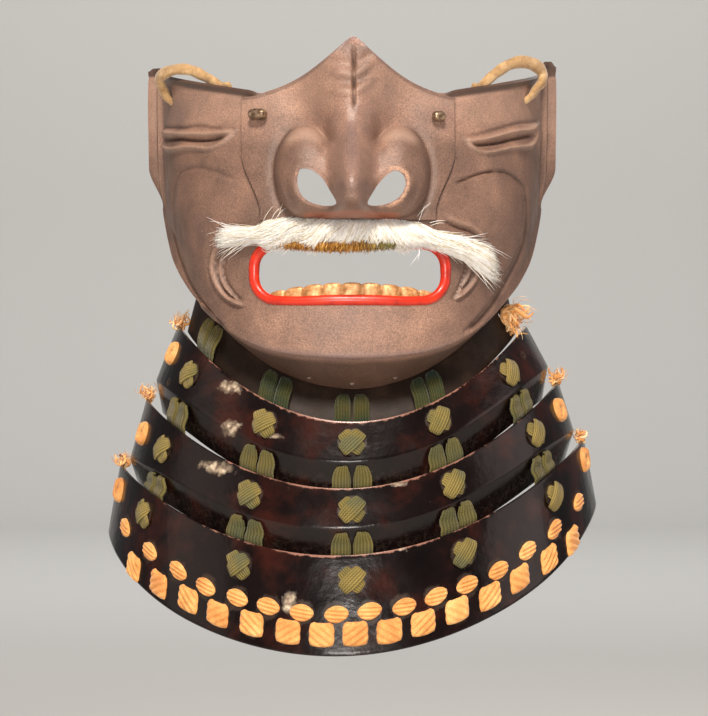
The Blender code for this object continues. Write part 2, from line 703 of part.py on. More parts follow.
def lame_holes(number, lame):
    holes = []
    for column, turn in enumerate(LACE_TURNS, 1):
        if lame.lace_holes is not None and has_pair(number, column):
            for side in (-1, 1):
                holes.append(hole_in_lame(lame, turn, lame.lace_holes, side * PAIR_HALF_SPACING, 0.0, LACE_HOLE))
        if lame.knot is not None:
            for side in (-1, 1):
                for drop in (-1, 1):
                    place = (side * KNOT_HALF_SIZE, drop * KNOT_HALF_SIZE)
                    holes.append(hole_in_lame(lame, turn, lame.knot, *place, LACE_HOLE))
    spots = [HoleSpot(frayed.lame, frayed.knot_turn, frayed.knot_place) for frayed in FRAYED]
    for spot in [*spots, BROKEN_PAIR]:
        if spot.lame == number:
            holes.append(hole_in_lame(lame, spot.turn, spot.place, 0.0, 0.0, LACE_HOLE))
    for spot in BARE_HOLES:
        if spot.lame == number:
            holes.append(hole_in_lame(lame, spot.turn, spot.place, 0.0, 0.0, BARE_HOLE_SIZE))
    return holes


def build_lame(number, lame):
    name = f"neck_lame_{number}"
    finish = "russet_lacquer" if number == 1 else "black_lacquer"
    piece = add_solid(name, [shell(lame_grid(lame), LAME_WALL)], finish)
    holes = lame_holes(number, lame)
    if number == 1:
        holes += rivet_holes()
    shape_with(piece, "DIFFERENCE", holes, name + "_hole_cutter")


def rivet_frame(turn):
    """Where a rivet starts in front of the chin's lower edge, its way back, and its level direction."""
    angle = math.radians(turn)
    axis = np.array([-math.sin(angle), math.cos(angle), 0.0])
    start = face_row_point(turn, NECK_RIVET_ROW) - axis * 1.2
    return start, axis, np.array([math.cos(angle), math.sin(angle), 0.0])


def rivet_holes():
    half_diagonal = (NECK_RIVET_RADIUS + HOLE_ROOM) * math.sqrt(2)
    ends = ((-3.0, half_diagonal, half_diagonal), (NECK_RIVET_LENGTH + 4.0, half_diagonal, half_diagonal))
    return [stud(*rivet_frame(rivet.turn), ends, sides=4) for rivet in NECK_RIVETS]


def build_neck_rivet(rivet):
    ends = ((0.0, NECK_RIVET_RADIUS, NECK_RIVET_RADIUS), (NECK_RIVET_LENGTH, NECK_RIVET_RADIUS, NECK_RIVET_RADIUS))
    add_solid(rivet.name, [stud(*rivet_frame(rivet.turn), ends)], "iron")


# ---------------------------------------------------------------- laces


def has_pair(upper, column):
    return not (upper == BROKEN_PAIR.lame and column == len(LACE_TURNS))


def knot_stations(lame, turn):
    """The cross on a lame's face. One strand runs down to the right, the other climbs over it."""
    half = KNOT_HALF_SIZE
    over = LACE_STEP_OUT + LACE_THICKNESS + 0.45

    def station(aside, below, outward, direction, width, thickness=LACE_THICKNESS):
        return band_on_lame(lame, turn, lame.knot, aside * half, below * half, outward, direction, width, thickness)

    def in_hole(aside, below, direction):
        return station(aside, below, -LAME_WALL / 2, direction, LACE_IN_HOLE_WIDTH, LACE_IN_HOLE_THICKNESS)

    return [
        in_hole(-1.0, -1.0, (0.92, 0.38)),
        station(-0.62, -0.62, LACE_STEP_OUT, (0.7, 0.7), 4.4),
        station(0.0, 0.0, LACE_STEP_OUT, (0.7, 0.7), 5.0),
        station(0.62, 0.62, LACE_STEP_OUT, (0.7, 0.7), 4.4),
        in_hole(1.0, 1.0, (0.38, 0.92)),
        station(0.5, 1.0, LACE_STEP_IN, (0.0, 1.0), 2.8),
        station(-0.5, 1.0, LACE_STEP_IN, (0.0, 1.0), 2.8),
        in_hole(-1.0, 1.0, (-0.38, 0.92)),
        station(-0.74, 0.74, over - 0.35, (-0.7, 0.7), 4.0),
        station(-0.5, 0.5, over, (-0.7, 0.7), 5.0),
        station(0.5, -0.5, over, (-0.7, 0.7), 5.0),
        station(0.74, -0.74, over - 0.35, (-0.7, 0.7), 4.0),
        in_hole(1.0, -1.0, (-0.92, 0.38)),
    ]


def strand_stations(upper, lower, turn, side):
    """Half a lace: from its hole in the upper lame, over the crease's foot and down behind the lower lame."""
    reach = side * PAIR_HALF_SPACING
    flat = (-side, 0.0)

    def above(aside, below, outward, direction, width, thickness=LACE_THICKNESS):
        return band_on_lame(upper, turn, upper.lace_holes, aside, below, outward, direction, width, thickness)

    def behind(aside, place, below, outward, width):
        return band_on_lame(lower, turn, place, aside, below, outward, flat, width, LACE_THICKNESS)

    leaving = above(reach, 2.1, LACE_STEP_OUT + 0.3, flat, 4.0)
    hidden = behind(reach + side * 2.1, 0.0, 1.0, LACE_STEP_IN - 0.7, LACE_WIDTH)
    outward = lame_place(lower, turn, 0.0)[3]
    visible = (leaving[0] + hidden[0]) / 2 + outward * LACE_BULGE
    return [
        above(reach * 0.45, 0.0, LACE_STEP_IN, (0.0, 1.0), 3.0),
        above(reach, 0.0, -LAME_WALL / 2, (-side * 0.7, 0.7), LACE_IN_HOLE_WIDTH, LACE_IN_HOLE_THICKNESS),
        leaving,
        (visible, hidden[1], 0.93 * LACE_WIDTH, LACE_THICKNESS),
        hidden,
        behind(side * KNOT_HALF_SIZE, lower.knot, -KNOT_HALF_SIZE - 2.4, LACE_STEP_IN - 0.1, 3.4),
    ]


def knot_only_stations(lame, turn):
    """A cross whose pair has broken away, closed by a strand behind its upper holes."""
    stations = knot_stations(lame, turn)
    for aside in (0.5, -0.5):
        place = (aside * KNOT_HALF_SIZE, -KNOT_HALF_SIZE, LACE_STEP_IN)
        stations.append(band_on_lame(lame, turn, lame.knot, *place, (0.0, 1.0), 3.0, LACE_THICKNESS))
    return stations


def build_laces():
    for row in range(1, len(LAMES)):
        upper, lower = LAMES[row - 1], LAMES[row]
        for column, turn in enumerate(LACE_TURNS, 1):
            if has_pair(row, column):
                left = strand_stations(upper, lower, turn, -1)
                right = strand_stations(upper, lower, turn, 1)
                stations = left + knot_stations(lower, turn) + right[::-1]
            else:
                stations = knot_only_stations(lower, turn)
            add_solid(f"lace_{row}_{column}", [ribbon(stations, closed=True)], "green_silk")


def build_frayed(frayed):
    """A knot on the lame's face, a shank through its hole, and a frayed tuft behind its top corner."""
    lame = LAMES[frayed.lame - 1]
    side = math.copysign(1.0, frayed.knot_turn)

    def station(below, outward, direction, width, thickness):
        place = (0.0, below, outward)
        return band_on_lame(lame, frayed.knot_turn, frayed.knot_place, *place, direction, width, thickness)

    def corner(below, outward, direction, width, thickness):
        return band_on_lame(lame, frayed.tuft_turn, 0.0, 0.0, below, outward, direction, width, thickness)

    knot = [
        station(-5.5, 1.3, (1.0, 0.0), 3.0, 1.2),
        station(-3.5, 1.85, (1.0, 0.0), 5.0, 2.2),
        station(3.0, 1.8, (1.0, 0.0), 5.2, 2.2),
        station(4.4, 1.1, (1.0, 0.0), 4.0, 1.0),
    ]
    at_tip = corner(0.0, frayed.tuft_depth, (-side, 0.0), 0.8 * frayed.tuft_width, 1.2)
    up = unit(np.array([0.25 * side, 0.0, 1.0]))
    middle = at_tip[0] + up * 0.5 * frayed.tuft_reach
    top = at_tip[0] + up * frayed.tuft_reach
    shank = [
        station(1.6, 1.3, (0.0, 1.0), 2.4, 1.1),
        station(0.0, -LAME_WALL / 2, (0.0, 1.0), 2.0, 0.9),
        station(-0.6, LACE_STEP_IN - 0.2, (0.0, 1.0), 3.0, 1.0),
        corner(3.6, frayed.tuft_depth, (-0.6 * side, 0.8), 3.6, 1.0),
        at_tip,
        (middle, at_tip[1], frayed.tuft_width, frayed.tuft_thickness),
        (top, at_tip[1], 0.6 * frayed.tuft_width, 1.4),
    ]
    name = f"frayed_lace_{frayed.lame}_" + ("left" if side < 0 else "right")
    piece = add_solid(name, [ribbon(knot, closed=False)], "orange_silk")
    shape_with(piece, "UNION", [ribbon(shank, closed=False)], name + "_shank")


def build_broken_pair():
    """The frayed end of the broken pair, from the first lame out over the second one's corner."""
    upper, lower = LAMES[BROKEN_PAIR.lame - 1], LAMES[BROKEN_PAIR.lame]
    flat = (1.0, 0.0)

    def above(below, outward, width, thickness):
        place = (0.0, below, outward)
        return band_on_lame(upper, BROKEN_PAIR.turn, BROKEN_PAIR.place, *place, flat, width, thickness)

    stations = [
        above(-2.6, LACE_STEP_IN - 0.3, 3.0, 1.0),
        above(0.0, -LAME_WALL / 2, 2.0, 0.9),
        above(2.0, 1.9, 3.8, 1.2),
        above(6.0, 5.4, 8.0, 2.0),
        band_on_lame(lower, 74.0, 0.0, 0.0, -1.5, 3.6, flat, 10.0, 2.4),
        band_on_lame(lower, 80.0, 0.0, 0.0, 5.0, 2.6, flat, 9.0, 2.4),
        band_on_lame(lower, 84.0, 0.0, 0.0, 10.0, 1.9, flat, 5.0, 1.4),
    ]
    add_solid("frayed_lace_1_right", [ribbon(stations, closed=False)], "orange_silk")


def main():
    for piece in list(bpy.data.objects):
        bpy.data.objects.remove(piece)
    build_face_plate()
    build_nose_plate()
    for peg in PEGS:
        build_peg(peg)
    build_teeth()
    build_moustache()
    build_loop("cheek_loop_left", -1)
    build_loop("cheek_loop_right", 1)
    for number, lame in enumerate(LAMES, 1):
        build_lame(number, lame)
    for rivet in NECK_RIVETS:
        build_neck_rivet(rivet)
    build_laces()
    for frayed in FRAYED:
        build_frayed(frayed)
    build_broken_pair()


main()
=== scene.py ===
import functools
import math
import random

import bpy
import numpy as np
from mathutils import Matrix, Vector, noise


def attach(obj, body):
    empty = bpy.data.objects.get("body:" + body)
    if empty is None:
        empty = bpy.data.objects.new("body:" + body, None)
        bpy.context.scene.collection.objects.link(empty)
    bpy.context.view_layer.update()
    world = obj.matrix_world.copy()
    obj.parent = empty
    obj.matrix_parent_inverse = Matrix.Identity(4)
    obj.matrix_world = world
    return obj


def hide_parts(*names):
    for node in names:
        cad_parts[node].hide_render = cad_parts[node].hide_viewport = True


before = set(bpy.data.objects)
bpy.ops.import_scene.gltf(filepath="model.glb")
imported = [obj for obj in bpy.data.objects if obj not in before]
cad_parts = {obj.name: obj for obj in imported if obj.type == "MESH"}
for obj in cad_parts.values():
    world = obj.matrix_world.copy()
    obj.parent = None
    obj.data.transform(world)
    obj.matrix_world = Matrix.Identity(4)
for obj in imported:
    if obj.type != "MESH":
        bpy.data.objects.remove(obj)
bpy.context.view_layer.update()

# ---------------------------------------------------------------- face plate
# The half mask is one sheet of iron hammered over stakes from behind: cheeks, jaw and chin, with folds at the
# eyes and round the mouth. Its edges are turned out, and a flange with a bead stands up along each ear. It is
# finished in matte russet-brown lacquer with a sandy grain.

MM = 0.001
FACE_REAR = 95.0
FACE_ROUNDNESS = 2.35
FACE_WALL = 1.6
FACE_HEIGHTS = (-22.0, -6.0, 20.0, 40.0, 60.0, 90.0, 122.0)
FACE_DEPTHS = (93.0, 97.0, 98.0, 96.0, 92.0, 84.0, 75.0)
FACE_HALF_WIDTHS = (67.5, 69.0, 72.6, 75.8, 79.6, 81.0, 81.0)
CHIN_CREASE_HEIGHT = -8.4
JAW_RISE = 64.4
JAW_RISE_FROM = 20.0
JAW_BEND = 14.0
CHIN_TUCK = 17.0
CHIN_DROP = 11.8
CHIN_HALF_ANGLE = 55.0
CHEEK_TOP_HEIGHT = 100.5
EAR_TOP_RISE = 15.8
NOSE_HALF_ANGLE = 27.0
EAR_FLARE = 7.0
EAR_FLARE_WIDTH = 9.0
EAR_FLARE_FROM = 56.0
EAR_FLARE_FULL = 75.0
RIM_FLARE = 1.8
JAW_FLARE = 2.6
CHEEK_BULGE = 2.0
EAR_RADIUS = 80.0
BEAD_PLACE = 4.3
BEAD_WIDTH = 0.8
BEAD_GROOVES = (2.4, 6.6)


def ease(value):
    value = np.clip(value, 0.0, 1.0)
    return value * value * (3.0 - 2.0 * value)


def bump(distance, width):
    return np.exp(-((distance / width) ** 2))


def smooth_between(at, places, values):
    """Values on a smooth curve through a table's rows."""
    places = np.asarray(places, float)
    values = np.asarray(values, float)
    at = np.clip(at, places[0], places[-1])
    slopes = np.gradient(values, places)
    row = np.clip(np.searchsorted(places, at) - 1, 0, len(places) - 2)
    span = places[row + 1] - places[row]
    part = (at - places[row]) / span
    rise = part * part * (3.0 - 2.0 * part)
    return (
        values[row] * (1.0 - rise)
        + values[row + 1] * rise
        + slopes[row] * span * part * (1.0 - part) ** 2
        - slopes[row + 1] * span * part**2 * (1.0 - part)
    )


def units(vectors):
    return vectors / np.linalg.norm(vectors, axis=-1, keepdims=True)


def smooth_line(corners, points, closed=False):
    """Evenly numbered points on a smooth curve through a few corners."""
    corners = np.asarray(corners, float)
    count = len(corners)
    spans = count if closed else count - 1
    at = np.arange(points) * spans / points if closed else np.linspace(0.0, spans, points)
    row = np.minimum(at.astype(int), spans - 1)
    part = (at - row)[:, None]

    def corner(index):
        return corners[index % count] if closed else corners[np.clip(index, 0, count - 1)]

    before, here, there, after = (corner(row + step) for step in (-1, 0, 1, 2))
    return here + 0.5 * part * (
        there - before
        + part * (2 * before - 5 * here + 4 * there - after + part * (3 * (here - there) + after - before))
    )


def jaw_height(turn):
    past = np.abs(turn) - JAW_RISE_FROM
    part = (np.sqrt(past**2 + JAW_BEND**2) + past) / 2 / (90.0 - JAW_RISE_FROM)
    return CHIN_CREASE_HEIGHT + JAW_RISE * part**1.15


def face_top_height(turn):
    part = np.maximum(np.abs(turn) - NOSE_HALF_ANGLE, 0.0) / (90.0 - NOSE_HALF_ANGLE)
    return CHEEK_TOP_HEIGHT + EAR_TOP_RISE * part


def from_ear(turn):
    """About how far round the plate its edge at the ear is, in mm."""
    return np.radians(90.0 - np.abs(turn)) * EAR_RADIUS


def face_point(turn, height, outward=0.0):
    """Points on the plate's plain outer face, or off it along its normal."""
    turn, height = np.broadcast_arrays(np.asarray(turn, float), np.asarray(height, float))
    depth = smooth_between(height, FACE_HEIGHTS, FACE_DEPTHS)
    half_width = smooth_between(height, FACE_HEIGHTS, FACE_HALF_WIDTHS)
    angle = np.radians(turn)
    across = (np.abs(np.sin(angle)) / half_width) ** FACE_ROUNDNESS
    forward = (np.abs(np.cos(angle)) / depth) ** FACE_ROUNDNESS
    radius = (across + forward) ** (-1.0 / FACE_ROUNDNESS)
    ear = EAR_FLARE * np.maximum(0.0, 1.0 - from_ear(turn) / EAR_FLARE_WIDTH) ** 2
    radius = radius + ear * ease((height - EAR_FLARE_FROM) / (EAR_FLARE_FULL - EAR_FLARE_FROM))
    aside = np.abs(turn)
    rim = RIM_FLARE * np.exp(np.minimum(height - face_top_height(turn), 0.0) / 2.0)
    radius = radius + rim * ease((aside - 24.0) / 6.0) * ease((91.0 - aside) / 9.0)
    jaw = JAW_FLARE * np.exp(np.minimum(jaw_height(turn) - height, 0.5) / 5.0)
    radius = radius + jaw * ease((aside - 38.0) / 34.0)
    radius = radius + CHEEK_BULGE * bump(aside - 50.0, 17.0) * bump(height - 46.0, 17.0)
    point = np.stack([radius * np.sin(angle), FACE_REAR - radius * np.cos(angle), height], axis=-1)
    if np.any(outward):
        sideways = face_point(turn + 0.2, height) - face_point(turn - 0.2, height)
        upwards = face_point(turn, height + 0.2) - face_point(turn, height - 0.2)
        point = point + np.asarray(outward)[..., None] * units(np.cross(sideways, upwards))
    return point


def turn_at(across, height):
    """The angle round the plate at which its outer face is this far from the middle."""
    across, height = np.broadcast_arrays(np.asarray(across, float), np.asarray(height, float))
    low, high = np.zeros(across.shape), np.full(across.shape, 89.0)
    for _ in range(30):
        middle = (low + high) / 2
        inside = face_point(middle, height)[..., 0] < np.abs(across)
        low = np.where(inside, middle, low)
        high = np.where(inside, high, middle)
    return np.copysign(low, across)


def face_row_point(turn, row):
    """Rows 0 to 1 climb from the jaw to the rim, and rows 0 to -1 go back under the chin."""
    jaw = jaw_height(turn)
    height = jaw + np.maximum(row, 0.0) * (face_top_height(turn) - jaw)
    point = face_point(turn, height)
    under = np.cos(np.radians(90.0 * np.minimum(np.abs(turn) / CHIN_HALF_ANGLE, 1.0))) ** 2
    back = np.minimum(row, 0.0) * (1.4 + CHIN_TUCK * under)
    angle = np.radians(turn)
    point[..., 0] += back * np.sin(angle)
    point[..., 1] -= back * np.cos(angle)
    point[..., 2] += np.minimum(row, 0.0) * (0.9 + CHIN_DROP * under)
    return point


def nothing_selected():
    bpy.ops.object.select_all(action="DESELECT")


def pick(piece):
    """Selects one piece alone and makes it the active one."""
    nothing_selected()
    bpy.context.view_layer.objects.active = piece
    piece.select_set(True)


def new_piece(name, primitive, **settings):
    """Adds one of Blender's mesh primitives, under this name."""
    nothing_selected()
    getattr(bpy.ops.mesh, f"primitive_{primitive}_add")(**settings)
    piece = bpy.context.object
    piece.name = piece.data.name = name
    return piece


def points_of(piece, unit=MM):
    points = np.empty(len(piece.data.vertices) * 3)
    piece.data.vertices.foreach_get("co", points)
    return points.reshape(-1, 3) / unit


def lay_points(piece, points):
    """Moves a piece's vertices to these points, in mm."""
    piece.data.vertices.foreach_set("co", (points * MM).ravel())
    piece.data.update()


def grid_sheet(name, columns, rows, place):
    """A grid primitive laid over a surface. place takes each point's place across and up the grid, 0 to 1."""
    piece = new_piece(name, "grid", x_subdivisions=columns, y_subdivisions=rows, size=1.0)
    across, up = points_of(piece, 1.0)[:, :2].T + 0.5
    lay_points(piece, place(across, up))
    return piece


def finish_with(piece, kind, name, **settings):
    """Adds a modifier to a piece and applies it."""
    pick(piece)
    modifier = piece.modifiers.new(name, kind)
    for setting, value in settings.items():
        setattr(modifier, setting, value)
    bpy.ops.object.modifier_apply(modifier=name)


def turned_out(piece):
    """Recalculates a piece's normals so that they point outwards."""
    pick(piece)
    bpy.ops.object.mode_set(mode="EDIT")
    bpy.ops.mesh.select_all(action="SELECT")
    bpy.ops.mesh.normals_make_consistent(inside=False)
    bpy.ops.object.mode_set(mode="OBJECT")


def outline_cutter(name, outline, front, back):
    """A bar along Y, through the wall, whose section is a closed outline of (x, z) points."""
    cutter = new_piece(name, "circle", vertices=len(outline), fill_type="NGON")
    for vertex, (x, z) in zip(cutter.data.vertices, outline):
        vertex.co = (x * MM, front * MM, z * MM)
    bpy.ops.object.mode_set(mode="EDIT")
    bpy.ops.mesh.select_all(action="SELECT")
    bpy.ops.mesh.extrude_region_move(TRANSFORM_OT_translate={"value": (0.0, (back - front) * MM, 0.0)})
    bpy.ops.object.mode_set(mode="OBJECT")
    turned_out(cutter)
    return cutter


def cut_away(piece, cutter):
    finish_with(piece, "BOOLEAN", "cut", operation="DIFFERENCE", solver="MANIFOLD", object=cutter)
    bpy.data.objects.remove(cutter)


def smooth(piece, angle):
    pick(piece)
    bpy.ops.object.shade_smooth_by_angle(angle=math.radians(angle))


def distance_to(points, line, closed=False):
    """How far each (x, z) point is from a line, and how far along the line it is nearest, 0 to 1."""
    starts = line if closed else line[:-1]
    ends = np.roll(line, -1, axis=0) if closed else line[1:]
    best = np.full(len(points), np.inf)
    along = np.zeros(len(points))
    for index, (start, end) in enumerate(zip(starts, ends)):
        run = end - start
        part = np.clip((points - start) @ run / max(run @ run, 1e-9), 0.0, 1.0)
        apart = np.linalg.norm(points - start - part[:, None] * run, axis=1)
        nearer = apart < best
        best = np.where(nearer, apart, best)
        along = np.where(nearer, (index + part) / len(starts), along)
    return best, along


def nearest(points, targets):
    """Each point's distance to the nearest of some targets."""
    apart = np.full(len(points), np.inf)
    for target in targets:
        apart = np.minimum(apart, np.linalg.norm(points - target, axis=1))
    return apart


def most(*amounts):
    """The greatest of several amounts, point by point."""
    return functools.reduce(np.maximum, amounts)


def fading(along, length):
    """1 along a line, fading to 0 over this part of its length at each end."""
    return ease(along / length) * ease((1.0 - along) / length)


# Each fold is a line of (x, z) corners with its height and half width. A fold below zero is a groove.
FACE_FOLDS = (
    (((-80.8, 92.6), (-77.8, 90.0), (-70.0, 88.2), (-66.1, 88.4), (-61.8, 88.1), (-57.4, 87.0),
      (-51.7, 86.9)), -0.45, 0.9),
    (((-80.4, 89.5), (-77.8, 87.6), (-70.7, 85.9), (-64.7, 85.1), (-60.3, 84.6), (-54.5, 84.7),
      (-47.6, 85.4)), 1.1, 1.2),
    (((-80.4, 86.6), (-77.5, 84.6), (-70.4, 83.7), (-66.1, 82.6), (-60.3, 82.0), (-56.0, 82.2),
      (-52.1, 83.3)), -1.1, 0.8),
    (((-80.9, 84.5), (-79.0, 81.8), (-75.4, 80.1), (-69.1, 80.1), (-63.2, 79.2), (-58.9, 78.5),
      (-54.5, 79.8), (-50.8, 82.1), (-47.6, 85.4)), 1.0, 1.1),
    (((47.1, 83.4), (52.0, 84.2), (58.9, 86.5), (65.3, 88.7), (70.1, 90.4), (75.4, 91.7), (78.4, 93.7)),
      -0.45, 0.9),
    (((46.2, 81.8), (49.5, 81.3), (54.2, 82.2), (60.5, 84.2), (66.9, 86.5), (71.9, 87.6), (75.4, 88.9),
      (78.6, 92.2)), 1.1, 1.2),
    (((49.2, 79.6), (54.2, 79.9), (60.5, 81.1), (65.3, 82.8), (70.1, 84.2), (76.3, 86.5)), -1.1, 0.8),
    (((46.2, 81.4), (48.6, 78.9), (52.0, 77.1), (55.8, 76.6), (60.5, 77.9), (65.3, 79.4), (70.1, 80.4),
      (73.6, 81.1), (76.1, 83.2), (77.6, 86.9), (78.6, 91.8)), 1.0, 1.0),
    (((-73.4, 40.0), (-74.4, 50.0), (-74.6, 61.0), (-72.2, 68.6), (-68.6, 70.7), (-63.0, 71.0),
      (-58.1, 69.7), (-53.0, 67.9), (-45.5, 64.0)), -0.45, 1.2),
    (((42.0, 63.4), (44.1, 64.3), (47.8, 66.0), (51.8, 67.7), (55.5, 68.6), (58.9, 69.2)), -0.8, 0.7),
    (((56.0, 68.7), (63.1, 69.0), (68.1, 66.6), (71.0, 63.9), (72.0, 59.4), (72.5, 54.9), (72.3, 48.0),
      (70.6, 39.0)), -0.75, 1.1),
    (((-53.6, 39.5), (-55.8, 36.8), (-57.0, 32.8), (-57.2, 28.4), (-55.5, 23.3), (-52.7, 19.2),
      (-49.6, 16.5), (-46.1, 14.8), (-43.6, 14.2)), 0.85, 1.0),
    (((-52.4, 38.0), (-54.1, 35.1), (-55.5, 32.0), (-55.4, 28.0), (-54.0, 23.7), (-51.6, 20.0),
      (-48.8, 17.4), (-46.6, 16.2)), -0.85, 0.75),
    (((-53.0, 34.0), (-53.7, 30.0), (-53.6, 27.7), (-52.7, 23.9), (-50.6, 20.5), (-48.2, 17.8),
      (-45.4, 15.4)), 0.55, 0.7),
    (((-51.8, 33.5), (-52.2, 30.5), (-52.3, 27.3), (-51.2, 23.9), (-49.1, 20.5), (-46.7, 17.8),
      (-44.8, 15.9)), -0.7, 0.7),
    (((-57.6, 38.0), (-59.0, 32.8), (-59.2, 28.4), (-57.4, 22.7), (-54.4, 18.2), (-50.8, 15.2),
      (-47.0, 13.4), (-43.0, 13.0)), -0.5, 0.6),
    (((47.4, 35.0), (46.9, 31.0), (45.8, 27.6), (43.8, 22.4), (41.8, 18.4), (40.0, 16.1)), -0.75, 0.7),
    (((49.0, 34.0), (48.3, 30.0), (46.7, 25.5), (44.5, 21.5), (42.0, 18.0)), 0.6, 0.8),
    (((50.6, 33.5), (50.0, 30.0), (48.1, 25.1), (45.8, 22.2), (43.8, 20.2)), -0.8, 0.7),
    (((52.4, 34.5), (51.8, 30.0), (49.7, 24.2), (46.9, 20.7), (43.9, 18.0), (41.0, 16.4)), 0.8, 1.0),
    (((54.2, 34.0), (53.4, 28.5), (51.0, 23.6), (48.0, 19.4), (44.6, 16.8), (41.2, 15.6)), -0.6, 0.6),
    (((38.0, 48.0), (39.3, 46.7), (43.7, 45.0), (48.0, 44.0), (50.9, 41.8), (52.8, 39.9)), -0.9, 0.8),
    (((38.4, 50.0), (43.9, 47.4), (48.6, 46.2), (52.2, 43.6), (54.6, 41.0)), 0.5, 1.3),
    (((-38.0, 48.8), (-42.0, 47.4), (-46.7, 45.9), (-51.5, 43.3)), -0.35, 1.2),
    (((72.6, 58.0), (72.4, 47.0), (70.6, 38.5), (66.8, 30.6), (62.0, 22.2), (57.5, 15.0), (51.8, 8.2),
      (46.0, 3.4)), -1.5, 1.3),
    (((-76.2, 48.0), (-74.2, 41.0), (-72.0, 34.4), (-68.7, 26.4), (-65.3, 20.6), (-61.1, 14.3),
      (-56.4, 9.2), (-51.0, 4.2)), -0.95, 0.75),
)
FACE_COLUMN_COUNT = 350
FACE_ROW_COUNT = 205


def face_relief(point, turn):
    """How far the hammered folds, the ear's bead and the jaw's groove stand out of the plain plate."""
    view = point[:, [0, 2]]
    lift = np.zeros(len(point))
    for corners, height, width in FACE_FOLDS:
        apart, along = distance_to(view, smooth_line(corners, 16))
        lift += 1.45 * height * bump(apart, 0.85 * width) * (0.25 + 0.75 * fading(along, 0.12))
    height = point[:, 2]
    below_rim = face_top_height(turn) - height
    ear = ease((height - 54.0) / 10.0) * ease((below_rim - 0.8) / 3.5)
    bead, inner, outer = (bump(from_ear(turn) - at, BEAD_WIDTH) for at in (BEAD_PLACE, *BEAD_GROOVES))
    lift += ear * (bead - inner - 0.8 * outer)
    return lift - ease((np.abs(turn) - 26.0) / 3.0) * 0.4 * bump(below_rim - 2.6, 1.0)


def hammered(points, size, depth):
    """The low unevenness that a hammer leaves, in mm."""
    return np.array([noise.noise(Vector(point / size)) for point in points]) * depth


def face_place(across, up):
    turn = 180.0 * (across - 0.5)
    turn = turn * (1.0 + 0.10 * (1.0 - (turn / 90.0) ** 2))
    row = np.where(up < 0.14, up / 0.14 - 1.0, (up - 0.14) / 0.86)
    point = face_row_point(turn, row)
    knob = np.where(turn > 0, 4.6, 1.6) * ease((np.abs(turn) - 84.5) / 3.5) * ease((up - 0.9) / 0.1)
    knob -= np.where(turn > 0, 2.6, 1.6) * ease((np.abs(turn) - 88.2) / 1.8) ** 2 * ease((up - 0.88) / 0.12)
    left, right = np.maximum(turn - 0.15, -90.0), np.minimum(turn + 0.15, 90.0)
    low, high = np.maximum(row - 0.004, -1.0), np.minimum(row + 0.004, 1.0)
    sideways = face_row_point(right, row) - face_row_point(left, row)
    upwards = face_row_point(turn, high) - face_row_point(turn, low)
    lift = face_relief(point, turn) + hammered(point, 14.0, 0.18)
    return point + units(np.cross(sideways, upwards)) * lift[:, None] + knob[:, None] * (0.0, 0.0, 1.0)


MOUTH_HALF_WIDTH = 39.0
MOUTH_SHIFT = -0.9
MOUTH_LOW = 15.9
MOUTH_HIGH = 38.6
MOUTH_CORNER = 9.5


def mouth_outline(points):
    """Evenly spaced (x, z) points round the mouth: a slot with round corners."""
    corners = []
    for corner_x, corner_z, start in ((1, 1, 0), (-1, 1, 90), (-1, -1, 180), (1, -1, 270)):
        x = MOUTH_SHIFT + corner_x * (MOUTH_HALF_WIDTH - MOUTH_CORNER)
        z = MOUTH_HIGH - MOUTH_CORNER if corner_z > 0 else MOUTH_LOW + MOUTH_CORNER
        for step in range(9):
            angle = math.radians(start + step * 11.25)
            corners.append((x + MOUTH_CORNER * math.cos(angle), z + MOUTH_CORNER * math.sin(angle)))
    corners = np.array(corners + corners[:1])
    along = np.concatenate([[0.0], np.cumsum(np.linalg.norm(np.diff(corners, axis=0), axis=1))])
    at = np.linspace(0.0, along[-1], points, endpoint=False)
    return np.stack([np.interp(at, along, corners[:, 0]), np.interp(at, along, corners[:, 1])], axis=1)


def linear(colour):
    """A six-digit sRGB hex colour, or a plain grey value, as linear RGBA."""
    if not isinstance(colour, str):
        return (colour, colour, colour, 1.0)
    values = [int(colour[place:place + 2], 16) / 255 for place in (1, 3, 5)]
    light = [value / 12.92 if value <= 0.04045 else ((value + 0.055) / 1.055) ** 2.4 for value in values]
    return (*light, 1.0)


def fill(node, inputs):
    """Links or sets a node's inputs, by name or number. A colour is a hex value or a grey one."""
    for name, source in inputs.items():
        socket = node.inputs[name]
        if isinstance(source, bpy.types.NodeSocket):
            node.id_data.links.new(source, socket)
        else:
            socket.default_value = linear(source) if socket.type == "RGBA" else source


def add_node(material, kind, inputs, output=0, stops=(), **settings):
    """Adds one node and returns one of its outputs. stops are a colour ramp's places with their colours."""
    made = material.node_tree.nodes.new("ShaderNode" + kind)
    for setting, value in settings.items():
        setattr(made, setting, value)
    fill(made, inputs)
    if stops:
        elements = made.color_ramp.elements
        while len(elements) < len(stops):
            elements.new(0.5)
        for element, (place, colour) in zip(elements, stops):
            element.position = place
            element.color = linear(colour)
    return made.outputs[output]


def new_material(name):
    made = bpy.data.materials.new(name)
    made.use_nodes = True
    return made


def set_shader(material, inputs):
    fill(material.node_tree.nodes["Principled BSDF"], inputs)


def speckle(material, millimetres, detail=3.0, roughness=0.5):
    """Noise laid on the piece itself, with blotches about this many millimetres across."""
    place = add_node(material, "TexCoord", {}, "Object")
    return add_node(material, "TexNoise", {
        "Vector": place, "Scale": 1.0 / (millimetres * MM), "Detail": detail, "Roughness": roughness})


def blotches(material, millimetres, detail, roughness, *stops):
    """The same noise turned to the stops' colours or greys."""
    pattern = speckle(material, millimetres, detail, roughness)
    return add_node(material, "ValToRGB", {"Fac": pattern}, stops=stops)


